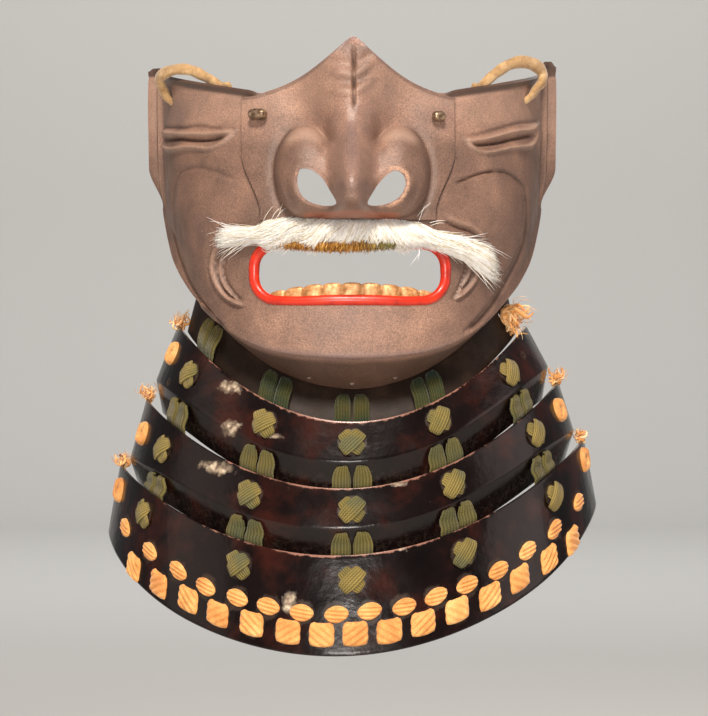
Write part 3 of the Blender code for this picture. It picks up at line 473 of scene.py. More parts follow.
def broken_up(material, amount, millimetres, low, high):
    """A smooth mask made ragged: noise decides where it still shows."""
    rough = speckle(material, millimetres, 5.0, 0.65)
    total = add_node(material, "Math", {0: amount, 1: rough}, operation="ADD")
    return add_node(material, "MapRange", {"Value": total, "From Min": low, "From Max": high})


def laid_over(material, colour, *coats):
    """Lays coats over a colour. Each is its mask, how much the mask covers at its fullest, and its tint."""
    for mask, cover, tint in coats:
        shown = add_node(material, "Math", {0: mask, 1: cover}, operation="MULTIPLY")
        colour = add_node(material, "Mix", {0: shown, 6: colour, 7: tint}, 2, data_type="RGBA")
    return colour


def shaded(material, colour, pattern, *stops):
    """Darkens or lightens a colour by a pattern, whose values the stops turn to shades."""
    shades = add_node(material, "ValToRGB", {"Fac": pattern}, stops=stops)
    inputs = {0: 1.0, 6: colour, 7: shades}
    return add_node(material, "Mix", inputs, 2, data_type="RGBA", blend_type="MULTIPLY")


# Russet lacquer (tetsusabi-nuri): iron dust stirred into brown lacquer and left matte, so it is sandy to the
# touch, with tan dust in its hollows, rubbed darker patches and small pale chips.
russet = new_material("russet_iron_lacquer")
grime, rubbed, polish, bare, rust = (
    add_node(russet, "Attribute", {}, "Fac", attribute_name=name)
    for name in ("grime", "rubbed", "polish", "bare", "rust")
)
colour = laid_over(
    russet, blotches(russet, 16.0, 4.0, 0.6, (0.3, "#775d50"), (0.5, "#8b6b5b"), (0.72, "#a07c68")),
    (blotches(russet, 34.0, 2.0, 0.5, (0.56, 0.0), (0.7, 1.0)), 0.55, "#5c4a48"),
)
grain = speckle(russet, 0.6, 3.0, 0.7)
colour = shaded(russet, colour, grain, (0.32, 0.55), (0.51, 0.98), (0.69, 1.42))
chips = blotches(russet, 2.6, 3.0, 0.6, (0.72, 0.0), (0.74, 1.0))
# Painted light: one coat lightens crests and high ground as painted highlight, another darkens grooves, seams
# and undersides as painted shade.
colour = laid_over(
    russet, colour, (chips, 1.0, "#b08d70"), (rubbed, 0.5, "#b99a86"), (polish, 0.55, "#6d5c5c"),
    (grime, 1.0, "#2e1a10"), (broken_up(russet, rust, 1.3, 0.85, 1.35), 1.0, "#9c5d45"),
    (broken_up(russet, bare, 1.2, 0.9, 1.25), 1.0, "#bf9479"),
)
sandy = add_node(russet, "Bump", {
    "Height": laid_over(russet, grain, (polish, 1.0, 0.5)), "Strength": 0.9, "Distance": 0.2 * MM})
matte = blotches(russet, 9.0, 3.0, 0.5, (0.3, 0.4), (0.7, 0.56))
set_shader(russet, {
    "Base Color": colour, "Roughness": laid_over(russet, matte, (polish, 1.0, 0.16)),
    "Specular IOR Level": 0.5, "IOR": 1.52,
    "Normal": add_node(russet, "Bump", {
        "Height": chips, "Strength": 0.6, "Distance": -0.15 * MM, "Normal": sandy}),
})


def give(piece, material):
    piece.data.materials.clear()
    piece.data.materials.append(material)


def mark(piece, **amounts):
    """Stores one number for each vertex under each name, for the material to read."""
    for name, values in amounts.items():
        made = piece.data.attributes.new(name, "FLOAT", "POINT")
        made.data.foreach_set("value", np.asarray(values, np.float32))


face = grid_sheet("face_plate_hammered", FACE_COLUMN_COUNT, FACE_ROW_COUNT, face_place)
face.vertex_groups.new(name="inside")
finish_with(face, "SOLIDIFY", "wall", thickness=FACE_WALL * MM, offset=-1.0, shell_vertex_group="inside")
finish_with(face, "DECIMATE", "plain_inside", vertex_group="inside", ratio=0.62)
cut_away(face, outline_cutter("mouth_cutter", mouth_outline(96), -60.0, 60.0))
NOTCH_HALF = ((33.0, 130.0), (33.0, 76.0), (30.0, 62.0), (26.0, 53.0))
notch = [*NOTCH_HALF, *((-x, z) for x, z in reversed(NOTCH_HALF))]
cut_away(face, outline_cutter("nose_notch_cutter", notch, -60.0, 60.0))
smooth(face, 50.0)

# Painted shade darkens the grooves, the seam beside the nose plate, the underside of the chin and the lower
# cheeks, and a darker band runs along the top rim. Painted highlight lightens the crests of the folds, the
# ear's bead and the upper face. The rims and the chin's crease are polished.
points = points_of(face)
view = points[:, [0, 2]]
across, height = points[:, 0], points[:, 2]
turn = np.degrees(np.arctan2(across, FACE_REAR - points[:, 1]))
aside = np.abs(turn)
bead, inner, outer = (bump(from_ear(turn) - at, BEAD_WIDTH) for at in (BEAD_PLACE, *BEAD_GROOVES))
ear = ease((height - 54.0) / 10.0)
# The lower cheeks, a little more at the right, get painted shade where the face turns away from the light.
cheeks = ease((86.0 - height) / 10.0) * ease((np.abs(across) - 30.0 + 0.6 * height) / 30.0)
grime = most(ear * (0.8 * inner + 0.85 * outer), (0.31 + 0.06 * ease(across / 40.0)) * cheeks)
# Painted highlight on the ear's bead and the upper face, which face the light.
rubbed = most(0.6 * ear * bead, 0.32 * ease((height - 86.0) / 6.0))
# The folds' crests get painted highlight and their grooves painted shade.
for corners, proud, width in FACE_FOLDS:
    apart, along = distance_to(view, smooth_line(corners, 16))
    if proud > 0:
        rubbed = most(rubbed, 0.75 * proud * bump(apart, 0.8 * width) * fading(along, 0.06))
    else:
        grime = most(grime, min(-1.1 * proud, 0.85) * bump(apart, 0.75 * width) * fading(along, 0.1))
# Painted shade along the seam beside the nose plate's edges.
heights = np.linspace(46.0, 99.0, 40)
for side in (-1.0, 1.0):
    seam = side * (34.9 + 7.9 * ease((heights - 50.0) / 26.0)) - 1.6
    grime = most(grime, 0.95 * bump(distance_to(view, np.stack([seam, heights], axis=1))[0], 0.75))
# Painted shade under the chin, and a darker band along the top rim.
under = ease((jaw_height(turn) - 0.6 - height) / 2.5) * ease((60.0 - aside) / 20.0)
chin = (0.67 + 0.12 * ease((aside - 8.0) / 14.0)) * under
rim = ease((aside - 25.0) / 3.0) * ease(2.6 - face_top_height(turn) + height)
crease = bump(height - jaw_height(turn) - 0.2, 1.3) * ease((34.0 - aside) / 20.0)
mark(face, rubbed=rubbed, grime=most(grime * (1.0 - np.minimum(rubbed, 1.0)), chin, 0.75 * rim),
     polish=most(crease, 0.4 * rim))
give(face, russet)
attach(face, "root")
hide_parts("face_plate")

# ---------------------------------------------------------------- lips
# The lips are the mouth's rolled edge: the iron turned over a wire into a bead, and coated with glossy
# vermilion lacquer. The upper lip hides under the moustache, and the lower one sags a little near its ends.

LIP_RADIUS = 2.25
LIP_SAG = 0.35


def ring_tube(name, centres, first, second, sides):
    """A torus primitive whose rings are laid on a closed line. first and second span each ring's section."""
    piece = new_piece(name, "torus", major_segments=len(centres), minor_segments=sides)
    angle = np.linspace(0.0, 2.0 * math.pi, sides, endpoint=False)[None, :, None]
    lay_points(piece, centres[:, None] + np.cos(angle) * first[:, None] + np.sin(angle) * second[:, None])
    turned_out(piece)
    return piece


def along_ring(centres):
    """The direction of a closed line at each of its points."""
    return units(np.roll(centres, -1, axis=0) - np.roll(centres, 1, axis=0))


def squared(directions, along):
    """Directions turned square to a line."""
    return units(directions - along * np.sum(directions * along, axis=1, keepdims=True))


outline = mouth_outline(220)
lower = outline[:, 1] < (MOUTH_LOW + MOUTH_HIGH) / 2
outline[:, 1] -= lower * LIP_SAG * bump(np.abs(outline[:, 0]) - 21.0, 9.0)
centres = face_point(turn_at(outline[:, 0], outline[:, 1]), outline[:, 1], -0.5 * FACE_WALL)
along = along_ring(centres)
outward = squared(units(centres * (1.0, 1.0, 0.0) - (0.0, FACE_REAR, 0.0)), along)
aside = np.cross(along, outward)
thickness = LIP_RADIUS * (1.0 - 0.13 * lower * bump(np.abs(outline[:, 0]) - 26.0, 13.0))[:, None]
lips = ring_tube("lip_bead", centres, outward * thickness * 0.95, aside * thickness, 18)
smooth(lips, 60.0)

# Vermilion lacquer (shu-urushi): an opaque, glossy orange-red, darker where it has crazed and worn thin.
vermilion = new_material("vermilion_lacquer")
colour = laid_over(
    vermilion, blotches(vermilion, 7.0, 4.0, 0.5, (0.3, "#a01a06"), (0.52, "#c82606"), (0.75, "#d2340a")),
    (blotches(vermilion, 1.6, 3.0, 0.5, (0.66, 0.0), (0.7, 1.0)), 0.6, "#5c1a10"),
)
set_shader(vermilion, {
    "Base Color": colour, "Roughness": 0.4, "Coat Weight": 0.2, "Coat Roughness": 0.12,
    "Normal": add_node(vermilion, "Bump", {
        "Height": speckle(vermilion, 2.2), "Strength": 0.25, "Distance": 0.3 * MM}),
})
give(lips, vermilion)
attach(lips, "root")
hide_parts("face_plate")

# ---------------------------------------------------------------- nose plate
# The nose is a separate plate, so that it can be taken off: a narrow ridge, two wings with pierced nostrils
# and a peak between the eyes with frown folds. It is hammered and lacquered like the face plate, and worn
# at its tip.

NOSE_GAP = 0.4
NOSE_WALL = 1.3
NOSE_FOOT = 48.0
NOSE_SHOULDER = 98.7
NOSE_PEAK = 22.3
NOSE_SHIFT = -1.6
NOSE_HALF_WIDTH_LOW = 34.6
NOSE_HALF_WIDTH_HIGH = 42.5
RIDGE_HEIGHTS = (56.0, 60.0, 66.0, 80.0, 95.0, 110.0, 122.0)
RIDGE_PROUD = (34.0, 36.0, 33.5, 22.5, 17.5, 16.5, 17.5)
RIDGE_SPREAD = (8.5, 8.5, 8.7, 9.5, 13.0, 18.0, 24.0)
NOSE_TIP_DROP = 8.5
WING_CENTRE = (18.4, 67.2)
WING_HALF_SIZE = (13.0, 19.0)
WING_PROUD = 16.5
LEFT_NOSTRIL = (
    (-20.0, 67.8), (-15.9, 67.2), (-11.8, 64.0), (-8.9, 59.3), (-6.2, 53.6), (-11.2, 53.2), (-16.5, 54.6),
    (-20.0, 57.4), (-21.6, 61.7), (-21.3, 65.8),
)
RIGHT_NOSTRIL = (
    (17.6, 67.0), (20.4, 65.2), (21.2, 61.6), (19.4, 57.4), (16.0, 54.8), (11.4, 53.4), (6.2, 53.4),
    (8.6, 58.8), (11.6, 63.0), (14.6, 65.8),
)
# Frown folds on the bridge: the heights where each V starts, and how proud it stands.
FROWN_FOLDS = ((105.8, 0.9), (98.6, 0.9), (102.2, -0.75), (110.0, -0.75), (94.8, -0.4))


def nose_relief(across, height):
    """How far the nose stands out of the cheeks: a ridge with a round tip, blended with two wings."""
    proud = smooth_between(height, RIDGE_HEIGHTS, RIDGE_PROUD)
    spread = smooth_between(height, RIDGE_HEIGHTS, RIDGE_SPREAD)
    under_tip = np.maximum(0.0, 1.0 - (height - NOSE_FOOT) / NOSE_TIP_DROP)
    ridge = proud * np.sqrt(np.maximum(0.0, 1.0 - under_tip**2))
    ridge = ridge * np.exp(-((np.abs(across) / (1.04 * spread)) ** 2.4))
    wing_x = np.abs(across) - WING_CENTRE[0]
    wing_x = wing_x / np.where(wing_x > 0, WING_HALF_SIZE[0], 10.5 + 14.0 * ease((83.0 - height) / 14.0))
    wing_z = (height - WING_CENTRE[1]) / WING_HALF_SIZE[1]
    wing = WING_PROUD * np.sqrt(np.maximum(0.0, 1.0 - wing_x**2 - wing_z**2))
    return (ridge**3 + wing**3) ** (1.0 / 3.0)


def frown(across, height, start):
    """How far above a frown fold each place is, in mm."""
    return height - start - np.where(across > 0.8, 4.6, 1.2) * (np.abs(across) / 8.0) ** 1.3


def wing_ring(side, height):
    """How far out from a wing's middle a place is, with 1 on the wing's own outline."""
    across = (side - WING_CENTRE[0]) / WING_HALF_SIZE[0]
    return np.hypot(across, (height - WING_CENTRE[1]) / WING_HALF_SIZE[1])


def round_wing(side, height, at, width):
    """A mask along a ring round the wing."""
    return bump((wing_ring(side, height) - at) * 14.0, width)


def nose_details(across, height):
    """Folds too fine for the broad form: the frown, the furrow, the wings' creases and the nostrils' rims."""
    side = np.abs(across)
    lift = -1.5 * bump(across - 0.8, 0.8) * ease((height - 90.0) / 8.0) * ease((118.5 - height) / 5.0)
    for start, proud in FROWN_FOLDS:
        lift += proud * bump(frown(across, height, start), 1.7) * ease((13.0 - side) / 9.0)
    outer = ease((side - 20.0) / 7.0)
    lift -= 0.7 * outer * round_wing(side, height, 1.04, 2.0)
    lift += 0.4 * outer * round_wing(side, height, 0.88, 1.8)
    lift -= 1.9 * bump(side - 10.2, 2.2) * bump(height - 80.0, 6.5)
    inner = ease((26.0 - side) / 6.0) * ease((height - 74.0) / 5.0)
    lift += 0.7 * inner * round_wing(side, height, 0.8, 1.8)
    points = np.stack([across, height], axis=1)
    for nostril in (LEFT_NOSTRIL, RIGHT_NOSTRIL):
        apart, _ = distance_to(points, smooth_line(nostril, 40, closed=True), closed=True)
        below = 0.35 + 0.65 * ease((66.0 - height) / 8.0)
        lift += 1.25 * bump(apart - 1.9, 1.5) * below * ease((side - 5.0) / 3.0)
        lift -= 0.8 * bump(apart - 4.9, 1.3) * (below - 0.35) * ease((side - 10.0) / 4.0)
    return lift


def nose_top(across_part):
    """The height of the plate's top edge: two shoulders and a peak, a little right of the middle."""
    apart = np.sqrt((across_part - 0.05 * (1.0 - across_part**2)) ** 2 + 0.0025) - 0.05
    return NOSE_SHOULDER + NOSE_PEAK * np.maximum(1.0 - apart, 0.0) ** 1.9


def nose_place(across_part, up_part):
    across_part = across_part * 2.0 - 1.0
    top = nose_top(across_part)
    height = NOSE_FOOT + up_part**1.25 * (top - NOSE_FOOT)
    widening = (NOSE_HALF_WIDTH_HIGH - NOSE_HALF_WIDTH_LOW) * ease((height - 50.0) / 26.0)
    across = NOSE_SHIFT + across_part * (NOSE_HALF_WIDTH_LOW + widening)
    point = face_point(turn_at(across, np.minimum(height, CHEEK_TOP_HEIGHT)), height, NOSE_GAP + NOSE_WALL)
    edge = ease((1.0 - np.abs(across_part)) / 0.12)
    below_top = top - height
    fine = nose_details(point[:, 0], height) * edge * ease(below_top / 2.0 + 0.2)
    point[:, 1] -= nose_relief(point[:, 0], height) + fine + 0.5 * bump(below_top, 1.6)
    return point + hammered(point, 12.0, 0.15)[:, None] * (0.0, -1.0, 0.0)


nose = grid_sheet("nose_plate_hammered", 220, 200, nose_place)
finish_with(nose, "SOLIDIFY", "wall", thickness=NOSE_WALL * MM, offset=-1.0)
for nostril in (LEFT_NOSTRIL, RIGHT_NOSTRIL):
    cut_away(nose, outline_cutter("nostril_cutter", smooth_line(nostril, 72, closed=True), -60.0, 20.0))
finish_with(nose, "BEVEL", "soft_edges", width=0.3 * MM, segments=2, limit_method="ANGLE",
            angle_limit=math.radians(50))
smooth(nose, 60.0)

# Painted highlight lightens the crests of the wings and frown folds and the upper bridge. Painted shade
# darkens the furrow, the creases round the wings and their outer sides, the valley beside the ridge, the
# lower flanks and the foot, with a darker band along the top edge. Metal shows bare or rusty at the
# nostrils' rims, the peak and the foot.
points = points_of(nose)
view = points[:, [0, 2]]
across, height = points[:, 0], points[:, 2]
side = np.abs(across)
plain = face_point(turn_at(across, np.minimum(height, CHEEK_TOP_HEIGHT)), height)
outside = points[:, 1] < plain[:, 1] - 0.5
frowns = bump(height - 110.6, 3.2) + bump(height - 102.4, 3.6) + bump(height - 95.2, 3.0)
below_top = nose_top((across - NOSE_SHIFT) / NOSE_HALF_WIDTH_HIGH) - height
# Painted shade in the nose's hollows and on its sides that turn from the light.
grime = most(
    0.85 * bump(across - 0.8, 0.8) * frowns,
    ease((side - 20.0) / 7.0) * (
        0.6 * round_wing(side, height, 1.03, 0.9) + 0.3 * ease((1.05 - wing_ring(side, height)) / 0.2)),
    0.4 * ease((1.5 - below_top) / 0.8) * ease((side - 8.0) / 4.0),
    (0.36 + 0.14 * ease((side - 27.0) / 6.0)) * ease((88.0 - height) / 12.0) * ease((side - 12.0) / 14.0),
    0.3 * ease((56.0 - height) / 4.0),
    0.28 * bump(side - 10.2, 2.2) * bump(height - 80.0, 7.0),
)
crest = ease((height - 76.0) / 5.0) * ease((30.0 - side) / 6.0) * ease((side - 9.0) / 4.0)
ridges = sum(bump(frown(across, height, start), 1.3) for start, _ in FROWN_FOLDS[:2])
# Painted highlight on crests that face the light.
rubbed = most(
    0.9 * crest * round_wing(side, height, 0.82, 2.2),
    0.5 * ridges * ease((11.0 - side) / 7.0),
    0.3 * ease((height - 88.0) / 10.0) * ease((side - 4.0) / 8.0),
)
left_rim, right_rim = (distance_to(view, smooth_line(nostril, 40, closed=True), closed=True)[0]
                       for nostril in (LEFT_NOSTRIL, RIGHT_NOSTRIL))
left_ends = bump(across + 22.0, 2.5) * bump(height - 66.0, 3.0)
left_ends = left_ends + bump(across + 9.5, 3.0) * bump(height - 62.0, 4.0)
bare = most(
    0.5 * bump(left_rim - 0.6, 1.0) * left_ends,
    0.62 * bump(right_rim - 1.2, 1.6) * ease((across - 10.0) / 6.0),
    0.4 * bump(across + 12.0, 1.6) * bump(height - 107.0, 1.3),
    0.45 * bump(across - 3.0, 7.0) * ease((height - 114.0) / 4.0),
)
rust = 0.5 * bump(across - 2.5, 5.5) * ease((height - 115.5) / 4.0)
rust = rust + 0.75 * ease((51.8 - height) / 1.6) * ease((24.0 - side) / 8.0)
polish = most(
    bump(across, 3.2) * ease((height - 62.0) / 6.0) * ease((92.0 - height) / 8.0),
    0.4 * ease((12.0 - side) / 7.0) * ease((104.0 - height) / 20.0),
    0.5 * ease((1.6 - below_top) / 0.8),
)
mark(nose, rubbed=rubbed, grime=grime * (1.0 - np.minimum(rubbed, 1.0)), bare=bare * outside, rust=rust,
     polish=polish)
give(nose, russet)
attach(nose, "root")
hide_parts("nose_plate")

# ---------------------------------------------------------------- nose pins
# Two brass pins hold the nose plate, one at each side. Each is a short barrel lying level, fixed on a shank
# that goes through both plates. Their lacquer has rubbed off to dull brown metal, with the left one a
# little longer.

# Each pin's place across and up the face, and its half length and half height.
PINS = (("nose_pin_barrel_left", "nose_pin_left", -36.7, 90.4, 4.0, 2.35),
        ("nose_pin_barrel_right", "nose_pin_right", 33.7, 89.5, 2.75, 2.15))
PIN_SHANK_RADIUS = 1.0

# Brass that handling has rubbed bright in places and left brown in others.
pin_brass = new_material("rubbed_pin_brass")
set_shader(pin_brass, {
    "Base Color": blotches(pin_brass, 1.8, 3.0, 0.5, (0.4, "#6a5544"), (0.62, "#a88f76")),
    "Metallic": 0.75, "Roughness": 0.36,
})


def joined(name, pieces):
    """Joins pieces into one, with its faces turned outwards."""
    nothing_selected()
    for piece in pieces:
        piece.select_set(True)
    bpy.context.view_layer.objects.active = pieces[0]
    bpy.ops.object.join()
    pieces[0].name = pieces[0].data.name = name
    turned_out(pieces[0])
    return pieces[0]


for name, node, across, height, half_length, half_height in PINS:
    turn = turn_at(across, height)
    centre = face_point(turn, height)
    outward = units(face_point(turn, height, 1.0) - centre)
    level = units(np.cross((0.0, 0.0, 1.0), outward))
    upward = np.cross(outward, level)
    head = NOSE_GAP + NOSE_WALL + 0.35 + half_height
    pin = new_piece(name, "uv_sphere", segments=40, ring_count=28, radius=1.0)
    for vertex in pin.data.vertices:
        x, y, z = vertex.co
        length = math.copysign(max(abs(z), 1e-6) ** 0.5, z) if abs(z) < 1.0 else z
        girth = math.hypot(x, y)
        spread = max(0.0, 1.0 - abs(length) ** 3.6) ** 0.45 / girth if girth > 1e-5 else 0.0
        middle = centre + outward * (head + half_height * x * spread) + level * half_length * length
        vertex.co = Vector(middle + upward * half_height * y * spread) * MM
    shank = new_piece("pin_shank", "cylinder", vertices=24, radius=PIN_SHANK_RADIUS * MM, depth=1.0)
    for vertex in shank.data.vertices:
        x, y = vertex.co[0] / MM, vertex.co[1] / MM
        z = -FACE_WALL - 1.2 if vertex.co[2] < 0 else head
        vertex.co = Vector(centre + level * x + upward * y + outward * z) * MM
    joined(name, [pin, shank])
    smooth(pin, 50.0)
    give(pin, pin_brass)
    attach(pin, "root")
    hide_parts(node)

# ---------------------------------------------------------------- teeth
# Nine lower teeth are embossed in one curved strip of sheet metal riveted behind the lip, and gilt. Between
# the teeth the gilt is darkened to brown: painted shade in the hollows.

TEETH_HALF_ANGLE = 21.4
TOOTH_COUNT = 9
TEETH_SET_BACK = 3.4
TEETH_FOOT = 13.5
TOOTH_TOP = 22.1

gilt = new_material("worn_gilt_leaf")
hollow = add_node(gilt, "Attribute", {}, "Fac", attribute_name="hollow")
leaf = blotches(gilt, 2.4, 5.0, 0.65, (0.34, "#96683c"), (0.5, "#c68f5a"), (0.68, "#e6be8c"))
set_shader(gilt, {
    "Base Color": laid_over(gilt, leaf, (hollow, 1.0, "#8f6236")), "Metallic": 0.3, "Roughness": 0.42,
    "Normal": add_node(gilt, "Bump", {"Height": speckle(gilt, 1.3), "Strength": 0.5, "Distance": 0.35 * MM}),
})


def from_tooth_middle(turn):
    """0 at the middle of each tooth, and 1 between two teeth."""
    pitch = 2.0 * TEETH_HALF_ANGLE / TOOTH_COUNT
    return np.abs(((turn + TEETH_HALF_ANGLE) / pitch) % 1.0 - 0.5) * 2.0


def teeth_place(across, up):
    turn = TEETH_HALF_ANGLE * (2.0 * across - 1.0)
    round_top = np.sqrt(np.maximum(0.0, 1.0 - from_tooth_middle(turn) ** 2.6))
    top = TOOTH_TOP + 1.2 * round_top - 4.4 * (turn / TEETH_HALF_ANGLE) ** 2
    height = TEETH_FOOT + up * (top - TEETH_FOOT)
    bulge = 1.3 * round_top * np.sqrt(np.maximum(0.0, 1.0 - (np.maximum(up - 0.45, 0.0) / 0.55) ** 2.4))
    return face_point(turn, height, -TEETH_SET_BACK + bulge)


teeth = grid_sheet("lower_teeth_gilt", 217, 26, teeth_place)
finish_with(teeth, "SOLIDIFY", "wall", thickness=0.9 * MM, offset=-1.0)
points = points_of(teeth)
turn = np.degrees(np.arctan2(points[:, 0], FACE_REAR - points[:, 1]))
# Painted shade in the hollows between the teeth.
mark(teeth, hollow=0.45 * ease((from_tooth_middle(turn) - 0.84) / 0.16))
smooth(teeth, 60.0)
give(teeth, gilt)
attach(teeth, "root")
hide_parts("lower_teeth")

# ---------------------------------------------------------------- moustache
# The moustache is white horsehair, laid along the upper lip and caught in the seam under the nose plate.
# Its roots in the middle are stained golden brown, and it is combed out to both sides, with a tail hanging
# at the right.

rng = np.random.default_rng(7)
# The moustache's top and bottom edges, as (x, z) from its left end to its right. Its middle stands a little
# higher at the left of the nose, and its right end sweeps down.
MOUSTACHE_TOP = np.array((
    (-60.0, 44.6), (-50.0, 45.2), (-38.0, 45.6), (-33.5, 48.4), (-27.0, 49.6), (-21.0, 49.6), (0.0, 49.2),
    (15.8, 48.9), (26.5, 47.2), (33.6, 43.6), (47.2, 40.0), (54.4, 37.4), (62.5, 32.8),
))
MOUSTACHE_FOOT = np.array((
    (-60.0, 37.0), (-45.6, 38.6), (-37.0, 39.2), (-34.0, 36.4), (-27.0, 36.6), (-22.0, 38.4), (-18.0, 36.2),
    (-15.0, 35.4), (-12.0, 37.4), (-8.0, 38.4), (-3.0, 37.2), (3.0, 38.2), (8.0, 36.6), (14.0, 37.4),
    (20.0, 36.0), (27.9, 37.4), (32.4, 36.6), (38.6, 34.8), (44.8, 31.8), (53.6, 26.0), (62.5, 22.0),
))
PARTING = 9.0
HAIR_COUNT = 5600
UNDER_HAIR_COUNT = 2600
ROOT_COUNT = 1500
# Loose hairs that stand away from the rest: (x, z) where each starts and ends, and its rise off the face.
WHISKERS = (
    (-6.0, 48.8, -2.2, 60.0, 6.0), (25.6, 47.4, 29.4, 54.6, 3.0), (-29.0, 48.0, -25.4, 53.4, 3.0),
    (-48.0, 45.0, -57.4, 48.6, 1.5), (-33.0, 46.5, -29.6, 52.0, 2.5), (27.0, 37.6, 23.8, 30.8, 5.0),
    (30.0, 46.6, 36.6, 47.4, 2.0), (-38.0, 41.5, -50.6, 31.2, 3.5), (-42.0, 41.5, -52.6, 34.6, 2.5),
    (-40.0, 41.0, -51.8, 33.4, 3.0), (-37.0, 40.6, -48.6, 33.6, 2.5), (-36.0, 40.4, -46.0, 35.4, 2.5),
    (-39.0, 40.8, -50.0, 35.0, 2.0), (40.0, 36.5, 56.6, 19.6, 3.0), (43.0, 34.5, 57.4, 20.8, 3.5),
    (45.0, 33.8, 56.0, 21.8, 3.0), (46.0, 34.6, 59.0, 22.6, 3.5), (-44.0, 43.0, -57.0, 42.6, 2.0),
    (-44.0, 40.6, -56.4, 39.4, 2.0), (44.0, 41.6, 62.2, 33.4, 3.0),
)


def strands(name, paths, radius, sides=3):
    """Fine tapered strands as one closed mesh. paths is (strand, point, xyz) in mm."""
    count, steps, _ = paths.shape
    along = units(np.gradient(paths, axis=1))
    first = units(np.cross(along, (0.31, 0.87, 0.39)))
    second = np.cross(along, first)
    taper = np.sin(np.linspace(0.18, 0.97, steps) * math.pi) ** 0.4 * radius
    corners = []
    for side in range(sides):
        angle = 2.0 * math.pi * side / sides
        corners.append(paths + taper[None, :, None] * (math.cos(angle) * first + math.sin(angle) * second))
    points = np.stack(corners, axis=2).reshape(-1, 3)
    ring = np.arange(sides)
    after = (ring + 1) % sides
    quads = []
    for step in range(steps - 1):
        low, high = sides * step, sides * (step + 1)
        quads.append(np.stack([low + ring, low + after, high + after, high + ring], axis=1))
    quads = np.concatenate(quads)
    starts = sides * steps * np.arange(count)[:, None, None]
    all_quads = (quads[None] + starts).reshape(-1, 4).tolist()
    ends = np.stack([ring[::-1], sides * (steps - 1) + ring])
    all_ends = (ends[None] + starts).reshape(-1, sides).tolist()
    mesh = bpy.data.meshes.new(name)
    mesh.from_pydata((points * MM).tolist(), [], all_quads + all_ends)
    mesh.shade_smooth()
    piece = bpy.data.objects.new(name, mesh)
    bpy.context.collection.objects.link(piece)
    mark(piece, strand=np.repeat(rng.random(count), sides * steps))
    return piece


def combed(count, reach, high, steps=6):
    """Strand paths between the moustache's edges, combed away from a parting and lying up to high mm deep."""
    x = rng.uniform(-49.0, 51.0, count)
    side = np.where(x > PARTING + rng.normal(0.0, 5.0, count), 1.0, -1.0)
    fade = ease(np.abs(x - PARTING) / np.where(side > 0, 24.0, 50.0))
    slope = np.radians(64.0 * (1.0 - fade) + rng.normal(0.0, 7.0, count))
    length = reach * rng.uniform(0.6, 1.15, count)
    deep = np.interp(x, *MOUSTACHE_TOP.T) - np.interp(x, *MOUSTACHE_FOOT.T)
    fall = length * np.sin(slope) / deep
    start = rng.uniform(0.0, 1.0, count) * (1.0 - 0.7 * np.clip(fall, 0.0, 0.95))
    limit = np.where(side > 0, 57.5, 52.5) + rng.normal(0.0, 1.0, count) - side * x
    shorter = np.minimum(limit / np.maximum(length * np.cos(slope), 1e-6), 1.0)
    shorter = np.minimum(shorter, (1.03 + rng.normal(0.0, 0.04, count) - start) / np.maximum(fall, 1e-6))
    part = np.linspace(0.0, 1.0, steps)[None, :] * np.clip(shorter, 0.2, 1.0)[:, None]
    across = x[:, None] + (side * length * np.cos(slope))[:, None] * part
    down = start[:, None] + fall[:, None] * part
    down += rng.laplace(0.0, 0.04, (count, 1)) * part
    down += rng.normal(0.0, 0.03, (count, 1)) * np.sin(part * math.pi)
    top, foot = np.interp(across, *MOUSTACHE_TOP.T), np.interp(across, *MOUSTACHE_FOOT.T)
    height = top + (foot - top) * down
    round_off = np.sqrt(np.maximum(1.0 - (2.0 * np.clip(down, 0.0, 1.0) - 1.0) ** 2, 0.08))
    layer = rng.uniform(0.15, 1.0, (count, 1))
    high = high * (1.0 - 0.4 * ease((np.abs(across) - 34.0) / 16.0))
    arched = 0.6 + 0.4 * np.sin(math.pi * np.linspace(0.1, 0.9, steps))[None, :]
    outward = 0.7 + high * layer * round_off * arched
    return face_point(turn_at(across, height), height - 0.22 * outward, outward)


def loose(each, wander):
    """Strand paths for the loose hairs, a few side by side in each place."""
    ends = np.repeat(np.array(WHISKERS), each, axis=0)
    ends[:, :4] += rng.normal(0.0, wander, (len(ends), 4))
    part = np.linspace(0.0, 1.0, 6)[None, :]
    across = ends[:, :1] + (ends[:, 2:3] - ends[:, :1]) * part
    height = ends[:, 1:2] + (ends[:, 3:4] - ends[:, 1:2]) * part
    height = height + rng.normal(0.3, 0.5, (len(ends), 1)) * np.sin(part * math.pi)
    return face_point(turn_at(across, height), height, 1.5 + (ends[:, 4:] - 1.5) * np.sin(part * 2.2))


def short_roots(count):
    """The stained stubble that shows along the bottom edge in the middle."""
    x = rng.uniform(-31.0, 22.0, count)
    part = np.linspace(0.0, 1.0, 5)[None, :]
    across = x[:, None] + rng.normal(-0.8, 0.9, (count, 1)) * part
    foot = 35.0 + 0.0035 * (x + 4.0) ** 2 + rng.normal(0.0, 0.5, count)
    start = foot + rng.uniform(2.5, 6.0, count)
    height = start[:, None] + (foot - start)[:, None] * part
    outward = rng.uniform(0.8, 4.6, (count, 1)) * (0.75 + 0.25 * np.sin(part * math.pi))
    return face_point(turn_at(across, height), height, outward)


# White horsehair: nearly white with cream and straw-coloured strands in it, faintly glossy along the hair.
white_hair = new_material("white_horsehair")
strand = add_node(white_hair, "Attribute", {}, "Fac", attribute_name="strand")
colour = add_node(white_hair, "ValToRGB", {"Fac": strand}, stops=(
    (0.0, "#a88a55"), (0.05, "#d8c69c"), (0.14, "#f2e8d2"), (0.34, "#fdf9f0"), (1.0, "#ffffff")))
set_shader(white_hair, {"Base Color": colour, "Roughness": 0.42, "Sheen Weight": 0.7})

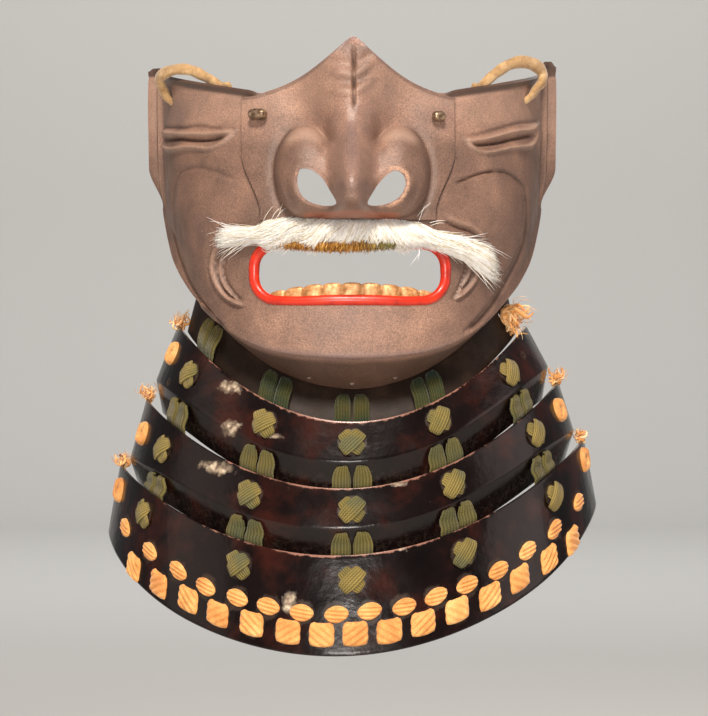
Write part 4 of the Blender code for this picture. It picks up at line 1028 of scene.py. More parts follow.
# The same hair stained at its roots, golden brown at the left and olive at the right.
stained_hair = new_material("stained_horsehair_roots")
strand = add_node(stained_hair, "Attribute", {}, "Fac", attribute_name="strand")
golden, olive = (add_node(stained_hair, "ValToRGB", {"Fac": strand}, stops=stops) for stops in (
    ((0.0, "#5e3408"), (0.45, "#a46a18"), (1.0, "#e6b25a")), ((0.0, "#4a4620"), (1.0, "#9a9450"))))
place = add_node(stained_hair, "TexCoord", {}, "Object")
across = add_node(stained_hair, "SeparateXYZ", {"Vector": place}, "X")
to_right = add_node(stained_hair, "MapRange", {"Value": across, "From Min": 2.0 * MM, "From Max": 14.0 * MM})
set_shader(stained_hair, {
    "Base Color": laid_over(stained_hair, golden, (to_right, 1.0, olive)), "Roughness": 0.55})

moustache = strands("moustache_hair", np.concatenate([combed(HAIR_COUNT, 14.0, 6.0), loose(2, 0.9)]), 0.11)
under_hair = strands("moustache_under_hair", combed(UNDER_HAIR_COUNT, 11.0, 3.6), 0.13)
roots = strands("moustache_roots", short_roots(ROOT_COUNT), 0.15)
give(moustache, white_hair)
give(under_hair, white_hair)
give(roots, stained_hair)
for piece in (moustache, under_hair, roots):
    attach(piece, "root")
    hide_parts("moustache")

# The felted pad under the hair, of tangled short hair, keeps the light from showing through.
pad = new_piece("moustache_pad", "uv_sphere", segments=24, ring_count=60, radius=1.0)
points = points_of(pad, 1.0)
girth = np.hypot(points[:, 0], points[:, 1])
around = np.arctan2(points[:, 1], points[:, 0])
across = 32.0 * np.arcsin(np.clip(points[:, 2], -1.0, 1.0)) / (math.pi / 2)
height = 42.6 + 3.0 * girth**0.4 * np.cos(around) - 0.002 * np.maximum(across, 0.0) ** 2
outward = 2.4 + 1.9 * girth**0.4 * np.sin(around)
lay_points(pad, face_point(turn_at(across, height), height, outward))
turned_out(pad)
smooth(pad, 60.0)
give(pad, white_hair)
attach(pad, "root")
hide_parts("moustache")

# ---------------------------------------------------------------- leather loops
# A soft loop of tan suede at each ear takes the helmet cord. Each is one strip, folded lengthwise, that
# leaves through a hole in the cheek, turns over the rim and is tied off inside.

# Each loop's route as (x, z, outward, width): up from its hole, over the rim and down inside.
LEFT_LOOP = np.array((
    (-75.4, 99.6, -1.0, 2.4), (-76.0, 101.4, 1.2, 3.4), (-76.4, 104.0, 2.4, 4.2), (-76.8, 107.4, 3.4, 5.0),
    (-76.4, 110.2, 3.7, 5.2), (-74.2, 112.2, 2.4, 4.6), (-71.2, 112.9, 0.2, 4.2), (-67.8, 112.0, -1.8, 4.0),
    (-64.2, 110.0, -2.9, 3.8), (-60.4, 107.8, -3.6, 3.6), (-56.8, 105.4, -4.0, 3.4),
    (-53.4, 102.4, -4.4, 3.4), (-53.0, 98.6, -4.6, 3.8), (-58.0, 96.8, -4.4, 4.0), (-65.5, 97.2, -4.2, 3.8),
    (-72.0, 98.4, -3.8, 3.2),
))
RIGHT_LOOP = np.array((
    (72.0, 99.6, -1.0, 2.4), (73.0, 101.4, 1.2, 3.2), (74.2, 104.4, 2.4, 4.4), (75.4, 108.4, 3.4, 5.0),
    (75.6, 112.2, 3.6, 5.2), (73.9, 114.9, 2.4, 4.8), (70.7, 115.8, 0.4, 4.6), (66.9, 114.4, -1.6, 4.2),
    (63.1, 111.8, -2.8, 4.0), (59.6, 109.0, -3.6, 3.6), (56.4, 106.0, -4.0, 3.4), (53.4, 102.6, -4.4, 3.4),
    (53.0, 98.6, -4.6, 3.8), (58.0, 96.8, -4.4, 4.0), (65.0, 97.2, -4.2, 3.8), (69.5, 98.4, -3.8, 3.2),
))

suede = new_material("tan_suede")
set_shader(suede, {
    "Base Color": blotches(suede, 5.0, 5.0, 0.65, (0.3, "#7d5e3c"), (0.5, "#a98558"), (0.72, "#c8a97c")),
    "Roughness": 0.9, "Sheen Weight": 0.35,
    "Normal": add_node(suede, "Bump", {
        "Height": speckle(suede, 0.6, 4.0, 0.7), "Strength": 0.6, "Distance": 0.2 * MM}),
})

LOOP_STEPS = 160
for name, node, corners in (("cheek_loop_suede_left", "cheek_loop_left", LEFT_LOOP),
                            ("cheek_loop_suede_right", "cheek_loop_right", RIGHT_LOOP)):
    route = smooth_line(corners, LOOP_STEPS, closed=True)
    turn = turn_at(route[:, 0], np.minimum(route[:, 1], 108.0))
    centres = face_point(turn, route[:, 1], route[:, 2])
    outward = units(face_point(turn, route[:, 1], 1.0) - face_point(turn, route[:, 1]))
    along = along_ring(centres)
    width_way = units(np.cross(outward, along))
    twist = 0.3 * np.sin(np.linspace(0.0, 4.0 * math.pi, LOOP_STEPS, endpoint=False))[:, None]
    width_way = units(width_way + twist * np.cross(along, width_way))
    width = route[:, 3:] * (1.16 + 0.05 * np.sin(np.arange(LOOP_STEPS) * 0.43)[:, None])
    thick_way = np.cross(along, width_way) * 0.33 * width
    loop = ring_tube(name, centres, width_way * width / 2, thick_way, 20)
    smooth(loop, 70.0)
    give(loop, suede)
    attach(loop, "root")
    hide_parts(node)

# ---------------------------------------------------------------- throat lames
# The throat guard (yodarekake) is four curved iron lames. The first is riveted under the chin and lacquered
# like the mask. The others hang below on laces: black lacquer over iron, creased along the middle, with
# worn top edges.

LAME_WALL = 1.2
# Each lame's edges from the top down: half width, front, end, height at the middle, rise, lift and tilt.
LAMES = (
    ((63.5, 22.5, 74.0, -13.0, 42.0, 0.0, 0.0), (70.0, 8.0, 78.0, -36.0, 40.0, 0.0, 0.0)),
    ((74.0, 2.0, 80.0, -32.7, 39.4, 0.0, 0.0), (83.6, -3.0, 84.0, -48.5, 41.0, -6.0, 2.0),
     (81.0, 0.5, 83.0, -63.5, 42.0, -6.0, 2.0)),
    ((88.0, -6.0, 85.0, -59.0, 38.4, 0.0, 2.4), (95.0, -9.5, 89.0, -74.7, 40.0, -9.5, 3.6),
     (90.5, -5.5, 87.0, -89.5, 41.0, -9.5, 3.6)),
    ((99.4, -14.5, 93.0, -85.0, 38.5, 0.0, 3.2), (105.0, -21.5, 96.0, -124.2, 38.0, 11.0, 3.2)),
)
LACE_HOLE_PLACES = (0.465, 1.2, 1.2, None)
KNOT_PLACES = (None, 0.52, 0.54, 0.25)
LACE_TURNS = (-58.0, -26.5, 0.0, 26.2, 55.0)
PAIR_HALF_SPACING = 3.2
KNOT_HALF_SIZE = 3.1
# Bare holes on the second lame, and the end knots' holes, as (lame, turn, place).
BARE_HOLES = ((2, -68.0, 0.9), (2, 66.0, 0.42))
END_KNOTS = ((2, -74.0, 0.42), (3, -73.0, 0.50), (4, -76.0, 0.28), (3, 72.0, 0.45), (4, 76.0, 0.22))
BROKEN_PAIR = (1, 68.0, 0.5)
# The knotted laces along the hem: 15 below, and 16 above in the gaps between them.
HEM_LOWER = [(0.6 + 7.45 * step + 0.0225 * step**3, 0.795 + 0.085 * abs(step / 7) ** 6)
             for step in range(-7, 8)]
HEM_UPPER = [(7.5 * (step + 0.5) + 0.00045 * (step + 0.5) ** 5, 0.58) for step in range(-8, 8)]


def edge_points(edge, turn):
    half_width, front, end, height, rise, lift, tilt = edge
    angle = np.radians(turn)
    sine = np.sin(angle)
    x = half_width * sine
    y = end - (end - front) * np.cos(angle)
    z = height + rise * sine**2 + lift * sine**8 + x * math.tan(math.radians(tilt))
    return np.stack([x, y, z], axis=-1)


def lame_place(number, turn, down):
    """Points of a lame's outer face, their sideways and downward steps for one unit, and the way outward."""
    edges = LAMES[number - 1]
    turn, down = np.broadcast_arrays(np.asarray(turn, float), np.asarray(down, float))
    first = np.clip(down.astype(int), 0, len(edges) - 2)

    def at(turn_there):
        lines = np.stack([edge_points(edge, turn_there) for edge in edges])
        top = np.take_along_axis(lines, first[None, ..., None], axis=0)[0]
        foot = np.take_along_axis(lines, first[None, ..., None] + 1, axis=0)[0]
        return top + (foot - top) * (down - first)[..., None], foot - top

    point, fall = at(turn)
    sideways = (at(turn + 0.1)[0] - at(turn - 0.1)[0]) / 0.2
    return point, sideways, fall, units(np.cross(fall, sideways))


def near_on_lame(number, turn, down, aside, below):
    """The place on a lame that lies aside and below of another, in millimetres along its face."""
    _, sideways, fall, _ = lame_place(number, turn, down)
    turn = turn + aside / np.linalg.norm(sideways, axis=-1)
    return lame_place(number, turn, down + below / np.linalg.norm(fall, axis=-1))


def hole_bars(number):
    """One cutter of round bars through a lame, for every lace that goes through it."""
    hole_place, knot_place = LACE_HOLE_PLACES[number - 1], KNOT_PLACES[number - 1]
    spots = []
    for column, turn in enumerate(LACE_TURNS, 1):
        if hole_place is not None and (number, column) != (1, 5):
            spots += [(turn, hole_place, side * PAIR_HALF_SPACING, 0.0, 1.3) for side in (-1, 1)]
        if knot_place is not None:
            spots += [(turn, knot_place, side * KNOT_HALF_SIZE, drop * KNOT_HALF_SIZE, 1.1)
                      for side in (-1, 1) for drop in (-1, 1)]
    torn = (*END_KNOTS, BROKEN_PAIR)
    spots += [(turn, place, 0.0, 0.0, 1.5) for lame, turn, place in torn if lame == number]
    spots += [(turn, place, 0.0, 0.0, 1.0) for lame, turn, place in BARE_HOLES if lame == number]
    bars = []
    for turn, place, aside, below, radius in spots:
        centre, sideways, _, outward = near_on_lame(number, turn, place, aside, below)
        level = units(sideways)
        bar = new_piece("hole_bar", "cylinder", vertices=16, radius=radius * MM, depth=4.5 * MM)
        for vertex in bar.data.vertices:
            x, y, z = vertex.co / MM
            middle = centre - outward * 0.6 + level * x
            vertex.co = Vector(middle + np.cross(outward, level) * y + outward * z) * MM
        bars.append(bar)
    return joined("hole_bars", bars)


# Black lacquer (roiro) over a reddish ground: deep gloss that age has dulled. Wear brings up the ground on
# top edges, dust greys it round the knots and under the creases, and pale cream patches stand partly for
# lacquer flaked off to the ground and partly for painted sheen, reflections of light painted into the colour.
black_lacquer = new_material("aged_black_lacquer")
wear, dust, flake = (
    add_node(black_lacquer, "Attribute", {}, "Fac", attribute_name=name) for name in ("wear", "dust", "flake")
)
dusty = broken_up(black_lacquer, dust, 2.2, 0.75, 1.45)
# Pale patches: partly flaked lacquer, partly painted sheen.
bared = broken_up(black_lacquer, flake, 3.2, 0.92, 1.3)
worn = broken_up(black_lacquer, wear, 3.0, 1.02, 1.2)
pale = blotches(black_lacquer, 2.6, 4.0, 0.5, (0.35, "#5c4c42"), (0.5, "#94826e"), (0.65, "#cdbda4"))
specks = blotches(black_lacquer, 1.1, 2.0, 0.5, (0.8, 0.0), (0.83, 0.7))
colour = laid_over(
    black_lacquer,
    blotches(black_lacquer, 22.0, 4.0, 0.6, (0.32, "#0a0505"), (0.5, "#120908"), (0.68, "#30140e")),
    (dusty, 1.0, "#43362d"), (worn, 1.0, "#8c6456"), (bared, 1.0, pale), (specks, 1.0, "#9c8c7c"),
)
glossy = blotches(black_lacquer, 14.0, 4.0, 0.5, (0.3, 0.16), (0.7, 0.28))
flaked = add_node(black_lacquer, "Bump", {"Height": bared, "Strength": 0.7, "Distance": -0.2 * MM})
set_shader(black_lacquer, {
    "Base Color": colour, "IOR": 1.5, "Specular IOR Level": 0.3,
    "Roughness": laid_over(black_lacquer, glossy, (dusty, 1.0, 0.62), (bared, 1.0, 0.7)),
    "Normal": add_node(black_lacquer, "Bump", {
        "Height": speckle(black_lacquer, 5.0), "Strength": 0.35, "Distance": 0.5 * MM, "Normal": flaked}),
})

# The first lame's lacquer is the mask's russet made darker and smoother: partly a darker lacquer, and
# partly painted shade for the chin's shadow that falls on it.
dark_russet = new_material("smoked_russet_lacquer")
grain = speckle(dark_russet, 0.6, 2.0, 0.7)
colour = blotches(dark_russet, 14.0, 4.0, 0.6, (0.3, "#1d1510"), (0.5, "#271c16"), (0.72, "#34271f"))
set_shader(dark_russet, {
    "Base Color": shaded(dark_russet, colour, grain, (0.32, 0.75), (0.7, 1.25)),
    "Roughness": blotches(dark_russet, 9.0, 3.0, 0.5, (0.3, 0.4), (0.7, 0.55)), "Specular IOR Level": 0.14,
    "Normal": add_node(dark_russet, "Bump", {"Height": grain, "Strength": 0.4, "Distance": 0.12 * MM}),
})

# Pale patches on each lame, partly where lacquer has come off and partly painted sheen: turn, place down
# the lame, half width and half height in mm.
FLAKES = {
    2: ((-41.0, 0.2, 8.0, 3.4), (-36.5, 0.98, 6.5, 4.2), (-24.0, 0.72, 7.0, 1.4)),
    3: ((-37.5, 0.26, 11.0, 3.4), (12.0, 0.06, 4.5, 1.6)),
    4: ((12.0, 0.02, 3.0, 1.3), (-14.0, 0.5, 4.0, 6.0)),
}


def dust_round(points, number, places, reach, fade):
    """A mask round places on a lame, each a turn and a place down it: full within its reach, then fading."""
    spots = [lame_place(number, turn, place)[0] for turn, place in places]
    return bump(np.maximum(nearest(points, spots) - reach, 0.0), fade)


for number in (1, 2, 3, 4):
    creases = len(LAMES[number - 1]) - 1

    def lame_points(across, up):
        down = np.minimum((1.0 - up) * creases, creases - 1e-9)
        point, _, _, outward = lame_place(number, 180.0 * (across - 0.5), down)
        return point + outward * hammered(point, 18.0, 0.25)[:, None]

    lame = grid_sheet(f"throat_lame_{number}", 230, 22 * creases + 1, lame_points)
    finish_with(lame, "SOLIDIFY", "wall", thickness=LAME_WALL * MM, offset=-1.0)
    finish_with(lame, "BEVEL", "soft_edges", width=0.35 * MM, segments=2, limit_method="ANGLE",
                angle_limit=math.radians(20))
    cut_away(lame, hole_bars(number))
    smooth(lame, 60.0)
    points = points_of(lame)
    facing = np.empty(len(points) * 3)
    lame.data.vertices.foreach_get("normal", facing)
    outside = np.sum(facing.reshape(-1, 3)[:, :2] * (points[:, :2] - (0.0, 80.0)), axis=1) > 0.0
    turns = np.linspace(-90.0, 90.0, 240)
    from_top = nearest(points, lame_place(number, turns, 0.0)[0])
    knots = [(turn, KNOT_PLACES[number - 1]) for turn in LACE_TURNS if number > 1]
    under_foot = [(turn, creases - 0.35) for turn in turns if number < 4]
    bare = [(turn, place) for lame_number, turn, place in BARE_HOLES if lame_number == number]
    dust = most(
        0.9 * dust_round(points, number, knots, 4.5, 1.2),
        0.3 * dust_round(points, number, under_foot, 0.0, 6.0),
        0.6 * dust_round(points, number, HEM_LOWER + HEM_UPPER if number == 4 else [], 4.0, 1.4),
        1.2 * dust_round(points, number, bare, 0.0, 1.7),
    )
    # Pale patches, partly flaked lacquer and partly painted sheen.
    flake = np.zeros(len(points))
    for turn, place, half_width, half_height in FLAKES.get(number, ()):
        centre, sideways, fall, _ = lame_place(number, turn, place)
        aside = (points - centre) @ units(sideways) / half_width
        below = (points - centre) @ units(fall) / half_height
        flake = most(flake, 0.85 * np.exp(-(aside**2 + below**2)))
    mark(lame, wear=np.exp(-from_top / 1.3) * (0.35 + 0.75 * bump(points[:, 0], 62.0)), dust=dust * outside,
         flake=flake * outside)
    give(lame, dark_russet if number == 1 else black_lacquer)
    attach(lame, "root")
    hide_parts(f"neck_lame_{number}")

# ---------------------------------------------------------------- neck rivets
# Three iron rivets fasten the first lame under the chin. Their heads are hammered low and lacquered over.

RIVET_RADIUS = 1.1
RIVET_LENGTH = 10.0

for name, turn in (("left", -12.0), ("centre", 0.0), ("right", 12.0)):
    angle = math.radians(turn)
    axis = np.array([-math.sin(angle), math.cos(angle), 0.0])
    level = np.array([math.cos(angle), math.sin(angle), 0.0])
    start = face_row_point(np.array([turn]), np.array([-0.8]))[0] - axis * 0.15
    rivet = new_piece(f"neck_rivet_hammered_{name}", "cylinder", vertices=24, radius=1.0, depth=1.0)
    bpy.ops.object.mode_set(mode="EDIT")
    bpy.ops.mesh.select_all(action="SELECT")
    bpy.ops.mesh.bevel(offset=0.25, segments=4, affect="EDGES")
    bpy.ops.object.mode_set(mode="OBJECT")
    for vertex in rivet.data.vertices:
        x, y, z = vertex.co
        section = level * x * RIVET_RADIUS + np.array([0.0, 0.0, RIVET_RADIUS]) * y
        vertex.co = Vector(start + section + axis * (z + 0.5) * RIVET_LENGTH) * MM
    turned_out(rivet)
    smooth(rivet, 40.0)
    # Painted shade: the rivets sit in the chin's shadow.
    mark(rivet, grime=np.full(len(rivet.data.vertices), 0.62))
    give(rivet, russet)
    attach(rivet, "root")
    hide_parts(f"neck_rivet_{name}")

# ---------------------------------------------------------------- green laces
# Silk lace hangs each lame from the one above: it comes forward through two holes under the crease, goes
# behind the next lame and ends there in a cross of two overlapping straps. It is a flat, ribbed braid.

# The braid is wider on the lower rows: its width in mm below each of the first three lames.
LACE_WIDTHS = {1: 6.4, 2: 7.4, 3: 7.8}
RIBS = 6


def rib_section(points_each_side):
    """A flat braid's section: places across its width from -1 to 1 with its half thickness, out and back."""
    across = np.cos(np.linspace(0.0, math.pi, points_each_side + 1))
    ribs = 0.86 + 0.14 * np.cos(across * math.pi * RIBS)
    half = np.maximum(0.0, 1.0 - np.abs(across) ** 4.5) ** 0.5 * ribs
    front = np.stack([across[:-1], half[:-1]], axis=1)
    return np.concatenate([front, -front])


def braid(name, stations, steps, section):
    """A closed band. Each station holds its centre, its width's direction, its width and its thickness."""
    count = steps * len(stations)
    centres = smooth_line([station[0] for station in stations], count, closed=True)
    sideways = units(smooth_line([units(station[1]) for station in stations], count, closed=True))
    sizes = smooth_line([station[2:] for station in stations], count, closed=True)
    along = along_ring(centres)
    sideways = squared(sideways, along)
    first = (sideways * sizes[:, :1] / 2)[:, None] * section[None, :, :1]
    second = (np.cross(along, sideways) * sizes[:, 1:] / 2)[:, None] * section[None, :, 1:]
    piece = new_piece(name, "torus", major_segments=count, minor_segments=len(section), generate_uvs=True)
    lay_points(piece, centres[:, None] + first + second)
    turned_out(piece)
    smooth(piece, 70.0)
    return piece


def on_lame(number, turn, down, aside, below, outward, direction, width, thickness):
    """A station on or behind a lame. Its width lies in the lame's face, along (sideways, up)."""
    point, sideways, _, normal = near_on_lame(number, turn, down, aside, below)
    level = units(sideways)
    width_way = direction[0] * level + direction[1] * np.cross(normal, level)
    return point + normal * outward, width_way, width, thickness


STEP_IN = -(LAME_WALL + 1.15)


def knot_stations(number, turn):
    """The cross on a lame's face. One strand runs down to the right, the other climbs over it."""
    place = KNOT_PLACES[number - 1]
    half = KNOT_HALF_SIZE

    def at(aside, below, outward, direction, width, thickness=1.4):
        return on_lame(number, turn, place, aside * half, below * half, outward, direction, width, thickness)

    def in_hole(aside, below, direction):
        return at(aside, below, -LAME_WALL / 2, direction, 2.2, 1.0)

    return [
        in_hole(-1.0, -1.0, (0.92, 0.38)),
        at(-1.18, -1.18, 0.5, (0.74, 0.67), 4.8, 1.2),
        at(-0.7, -0.7, 1.15, (0.7, 0.7), 6.1),
        at(0.0, 0.0, 1.25, (0.7, 0.7), 6.4),
        at(0.7, 0.7, 1.15, (0.7, 0.7), 6.1),
        at(1.18, 1.18, 0.5, (0.67, 0.74), 4.8, 1.2),
        in_hole(1.0, 1.0, (0.38, 0.92)),
        at(0.5, 1.0, STEP_IN, (0.0, 1.0), 2.8, 1.0),
        at(-0.5, 1.0, STEP_IN, (0.0, 1.0), 2.8, 1.0),
        in_hole(-1.0, 1.0, (-0.38, 0.92)),
        at(-1.18, 1.18, 0.8, (-0.67, 0.74), 4.8, 1.2),
        at(-0.7, 0.7, 2.0, (-0.7, 0.7), 6.1, 1.7),
        at(0.0, 0.0, 2.5, (-0.7, 0.7), 6.4, 1.7),
        at(0.7, -0.7, 2.0, (-0.7, 0.7), 6.1, 1.7),
        at(1.18, -1.18, 0.8, (-0.74, 0.67), 4.8, 1.2),
        in_hole(1.0, -1.0, (-0.92, 0.38)),
    ]


def strand_stations(upper, lower, turn, side):
    """Half a lace: from its hole in the upper lame, over the crease's foot and down behind the lower lame."""
    reach = side * PAIR_HALF_SPACING
    flat = (-side, 0.0)
    width = LACE_WIDTHS[upper]
    apart = side * (width / 2 + 0.4)
    place = LACE_HOLE_PLACES[upper - 1]

    def above(aside, below, outward, direction, width, thickness):
        return on_lame(upper, turn, place, aside, below, outward, direction, width, thickness)

    def behind(aside, down, below, outward, width, thickness=1.0):
        return on_lame(lower, turn, down, aside, below, outward, flat, width, thickness)

    hidden = behind(apart * 1.04, 0.0, 1.4, STEP_IN - 0.5, width, 1.3)
    top = above(apart, 3.0, 2.1, flat, width, 2.6)
    outward = lame_place(lower, turn, 0.0)[3]
    middle = (top[0] + hidden[0]) / 2 + outward * 0.7
    return [
        above(reach * 0.45, 0.0, STEP_IN, (0.0, 1.0), 3.0, 1.0),
        above(reach, 0.0, -LAME_WALL / 2, (-side * 0.7, 0.7), 2.2, 1.0),
        above(0.9 * apart, -0.4, 1.0, flat, 0.68 * width, 2.2),
        top,
        (middle, hidden[1], 1.02 * width, 2.3),
        hidden,
        behind(side * KNOT_HALF_SIZE, KNOT_PLACES[lower - 1], -KNOT_HALF_SIZE - 2.4, STEP_IN - 0.1, 3.4),
    ]


# Green silk with slanted stitches, faded to olive on the knots. The pairs are darker, deep green and teal:
# partly less faded silk and partly painted shade, darkest on the first row's pairs under the chin.
green_silk = new_material("green_silk_braid")


def worked_out(material, value, *steps):
    """Works a value out in steps. Each step is an operation with the other values it takes."""
    for operation, *others in steps:
        value = add_node(material, "Math", dict(enumerate((value, *others))), operation=operation)
    return value


uv = add_node(green_silk, "TexCoord", {}, "UV")
along, round_section = (add_node(green_silk, "SeparateXYZ", {"Vector": uv}, axis) for axis in ("X", "Y"))
rib = worked_out(green_silk, round_section, ("MULTIPLY", 2.0 * math.pi), ("COSINE",),
                 ("MULTIPLY", math.pi * RIBS), ("COSINE",))
run = worked_out(green_silk, along, ("MULTIPLY", 620.0))
slant = worked_out(green_silk, rib, ("MULTIPLY", 2.4), ("ADD", run))
braided = worked_out(green_silk, slant, ("SINE",), ("MULTIPLY", 0.35), ("ADD", rib))
faded = add_node(green_silk, "Attribute", {}, "Fac", attribute_name="faded")
# The pairs' deep green is darkened partly for painted shade.
deep = blotches(green_silk, 12.0, 3.0, 0.5, (0.32, "#20302a"), (0.46, "#363a1c"), (0.62, "#443f1c"))
olive = blotches(green_silk, 17.0, 3.0, 0.5, (0.32, "#646242"), (0.43, "#7a6d3b"), (0.62, "#8f7c44"))
# The braid's stitches and ribs: painted shade in its grooves and painted highlight on its ribs.
relief = worked_out(green_silk, braided, ("MULTIPLY_ADD", 0.37, 0.5))
raised = add_node(green_silk, "Bump", {"Height": braided, "Strength": 0.7, "Distance": 0.3 * MM})
set_shader(green_silk, {
    "Base Color": shaded(green_silk, laid_over(green_silk, deep, (faded, 1.0, olive)), relief,
                         (0.05, 0.5), (0.5, 0.95), (0.9, 1.15)),
    "Roughness": 0.8, "Specular IOR Level": 0.2, "Sheen Weight": 0.12, "Sheen Roughness": 0.4,
    "Normal": add_node(green_silk, "Bump", {
        "Height": speckle(green_silk, 0.5), "Strength": 0.4, "Distance": 0.12 * MM, "Normal": raised}),
})

section = rib_section(22)
for upper in (1, 2, 3):
    for column, turn in enumerate(LACE_TURNS, 1):
        knot = knot_stations(upper + 1, turn)
        if (upper, column) == (1, 5):
            place = KNOT_PLACES[upper]
            half = KNOT_HALF_SIZE
            stations = knot + [on_lame(upper + 1, turn, place, aside, -half, STEP_IN, (0.0, 1.0), 3.0, 1.0)
                               for aside in (0.5 * half, -0.5 * half)]
        else:
            left = strand_stations(upper, upper + 1, turn, -1.0)
            right = strand_stations(upper, upper + 1, turn, 1.0)
            stations = left + knot + right[::-1]
        lace = braid(f"silk_lace_{upper}_{column}", stations, 6, section)
        from_knot = nearest(points_of(lace), [lame_place(upper + 1, turn, KNOT_PLACES[upper])[0]])
        # Painted shade: the pairs stay darker than the knots, and the first row's pairs, in the chin's
        # shadow, darkest.
        shade = 0.0 if upper == 1 and column > 1 else 0.38
        mark(lace, faded=np.maximum(ease((9.5 - from_knot) / 2.5), shade))
        give(lace, green_silk)
        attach(lace, "root")
        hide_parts(f"lace_{upper}_{column}")

# ---------------------------------------------------------------- orange hem knots
# Two rows of orange silk knots edge the last lame: below, square crosses pulled tight over the hem's thick
# edge, and above, flat stitches that lie level. Each is a short end of braid, with its ribs aslant.


def pad_on_lame(name, number, turn, down, half_turn, half_height, roundness, rib, high, tails=0.0, lean=0.0,
                slots=()):
    """A knot as a ribbed pad with rounded corners, sunk a little into the lame. slots are gaps in it."""
    fall = np.linalg.norm(lame_place(number, turn, down)[2])

    def place(across, up):
        across, up = 2.0 * across - 1.0, 2.0 * up - 1.0
        dome = np.sqrt(np.maximum(0.0, 1.0 - most(np.abs(across), np.abs(up)) ** 4.0))
        tip = tails * bump(np.abs(across) - 0.72, 0.22) * np.maximum(up, 0.0) ** 3
        pinch = tails * bump(up, 0.3) * np.abs(across) ** 3
        x = across * np.sqrt(1.0 - roundness * up**2) * (1.0 - 0.06 * pinch)
        z = up * np.sqrt(1.0 - roundness * across**2) + 0.12 * tip + lean * x
        ribs = np.cos(math.pi * (rib[0] * x + rib[1] * z))
        gaps = np.zeros(len(x))
        for slot_x, slot_z in slots:
            gaps += bump(x - slot_x, 0.12) * bump(z - slot_z, 0.3)
        dome = dome * (1.0 - 0.85 * gaps)
        point, _, _, outward = lame_place(number, turn + x * half_turn, down - z * half_height / fall)
        return point + outward * (high * dome * (0.8 + 0.2 * ribs) - 0.15)[:, None]

    pad = grid_sheet(name, 31, 27, place)
    finish_with(pad, "SOLIDIFY", "back", thickness=0.4 * MM, offset=-1.0)
    return pad


# Orange silk: a dull braid with a soft nap, light on its fibres, and nearly black in the gaps between
# strands, where painted shade darkens it. The end knots are a little darker all over too.
orange_silk = new_material("orange_silk_braid")
colour = blotches(orange_silk, 9.0, 4.0, 0.6, (0.3, "#c8813f"), (0.5, "#e09c55"), (0.72, "#edb672"))
fibres = speckle(orange_silk, 0.7, 4.0, 0.7)
slot = add_node(orange_silk, "Attribute", {}, "Fac", attribute_name="slot")
colour = shaded(orange_silk, colour, fibres, (0.3, 0.72), (0.62, 1.1))
set_shader(orange_silk, {
    "Base Color": laid_over(orange_silk, colour, (slot, 1.0, "#2a170d")),
    "Roughness": 0.8, "Sheen Weight": 0.35, "Sheen Roughness": 0.4,
    "Normal": add_node(orange_silk, "Bump", {"Height": fibres, "Strength": 0.5, "Distance": 0.15 * MM}),
})

wobble = random.Random(3)
squares = []
for index, (turn, place) in enumerate(HEM_LOWER):
    ribs = (2.6, -3.4) if index % 2 else (2.6, 3.2)
    turn, place = turn + wobble.uniform(-0.4, 0.4), place + wobble.uniform(-0.01, 0.01)
    squares.append(pad_on_lame("square", 4, turn, place, 2.95, 4.9, 0.27, ribs, 2.0, tails=1.0))
ovals = []
for turn, place in HEM_UPPER:
    turn, place = turn + wobble.uniform(-0.4, 0.4), place + wobble.uniform(-0.01, 0.01)
    lean = wobble.uniform(-0.1, 0.1)
    ovals.append(pad_on_lame("oval", 4, turn, place, 2.75, 3.5, 0.56, (0.5, 4.4), 1.7, lean=lean))
for piece in (joined("hem_knots_square", squares), joined("hem_knots_oval", ovals)):
    smooth(piece, 70.0)
    give(piece, orange_silk)
    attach(piece, "root")

# ---------------------------------------------------------------- frayed lace ends
# The side laces have torn. Their orange ends stand in tufts at the lames' top corners, and each still has a
# knot over the holes below. At the first lame's right corner the whole end has burst into a loose brush.


def tuft(name, base, toward, sideways, spread, reach, cords, hairs, curl, thick=0.55):
    """A torn end: thick curled cords with loose fibres between them, on a base twice as wide as spread."""
    out = np.cross(toward, sideways)
    groups = []
    for count, radius, sides, steps, coil in ((cords, thick, 6, 22, curl), (hairs, 0.12, 3, 12, 0.8 * curl)):
        part = np.linspace(0.0, 1.0, steps)[None, :, None]
        fan = rng.normal(0.0, 0.5, (count, 1)) * sideways + rng.normal(0.0, 0.4, (count, 1)) * out
        heading = units(toward + fan)
        start = base + rng.uniform(-1.0, 1.0, (count, 1)) * spread * sideways
        start = start + rng.normal(0.0, 0.5, (count, 1)) * out
        length = reach * rng.uniform(0.35, 1.0, count)[:, None, None]
        first = units(np.cross(heading, rng.normal(0.0, 1.0, (count, 3))))[:, None]
        second = np.cross(heading[:, None], first)
        phase = rng.uniform(0.0, 6.28, (count, 1, 1))
        wound = rng.uniform(5.0, 11.0, (count, 1, 1)) * part + phase
        path = start[:, None] + heading[:, None] * length * part
        path = path + coil * ease(part * 1.6) * (first * np.cos(wound) + second * np.sin(wound))
        groups.append(strands(name, path, radius, sides))
    piece = joined(name, groups)
    smooth(piece, 70.0)
    give(piece, frayed_silk)
    return piece


# The torn ends of the same silk, paler and duller, with each fibre its own shade.
frayed_silk = new_material("frayed_orange_silk")
strand = add_node(frayed_silk, "Attribute", {}, "Fac", attribute_name="strand")
colour = add_node(frayed_silk, "ValToRGB", {"Fac": strand}, stops=(
    (0.0, "#7c4820"), (0.2, "#cc8440"), (0.6, "#eaae68"), (1.0, "#f8dcae")))
set_shader(frayed_silk, {"Base Color": colour, "Roughness": 0.85, "Sheen Weight": 0.3})

# Each end knot's half size, in degrees round the lame and in mm up it, and the gaps between its strands.
END_KNOT_SIZE = (3.1, 5.2)
END_SLOTS = ((0.5, 0.34), (0.14, 0.04), (0.52, -0.36))
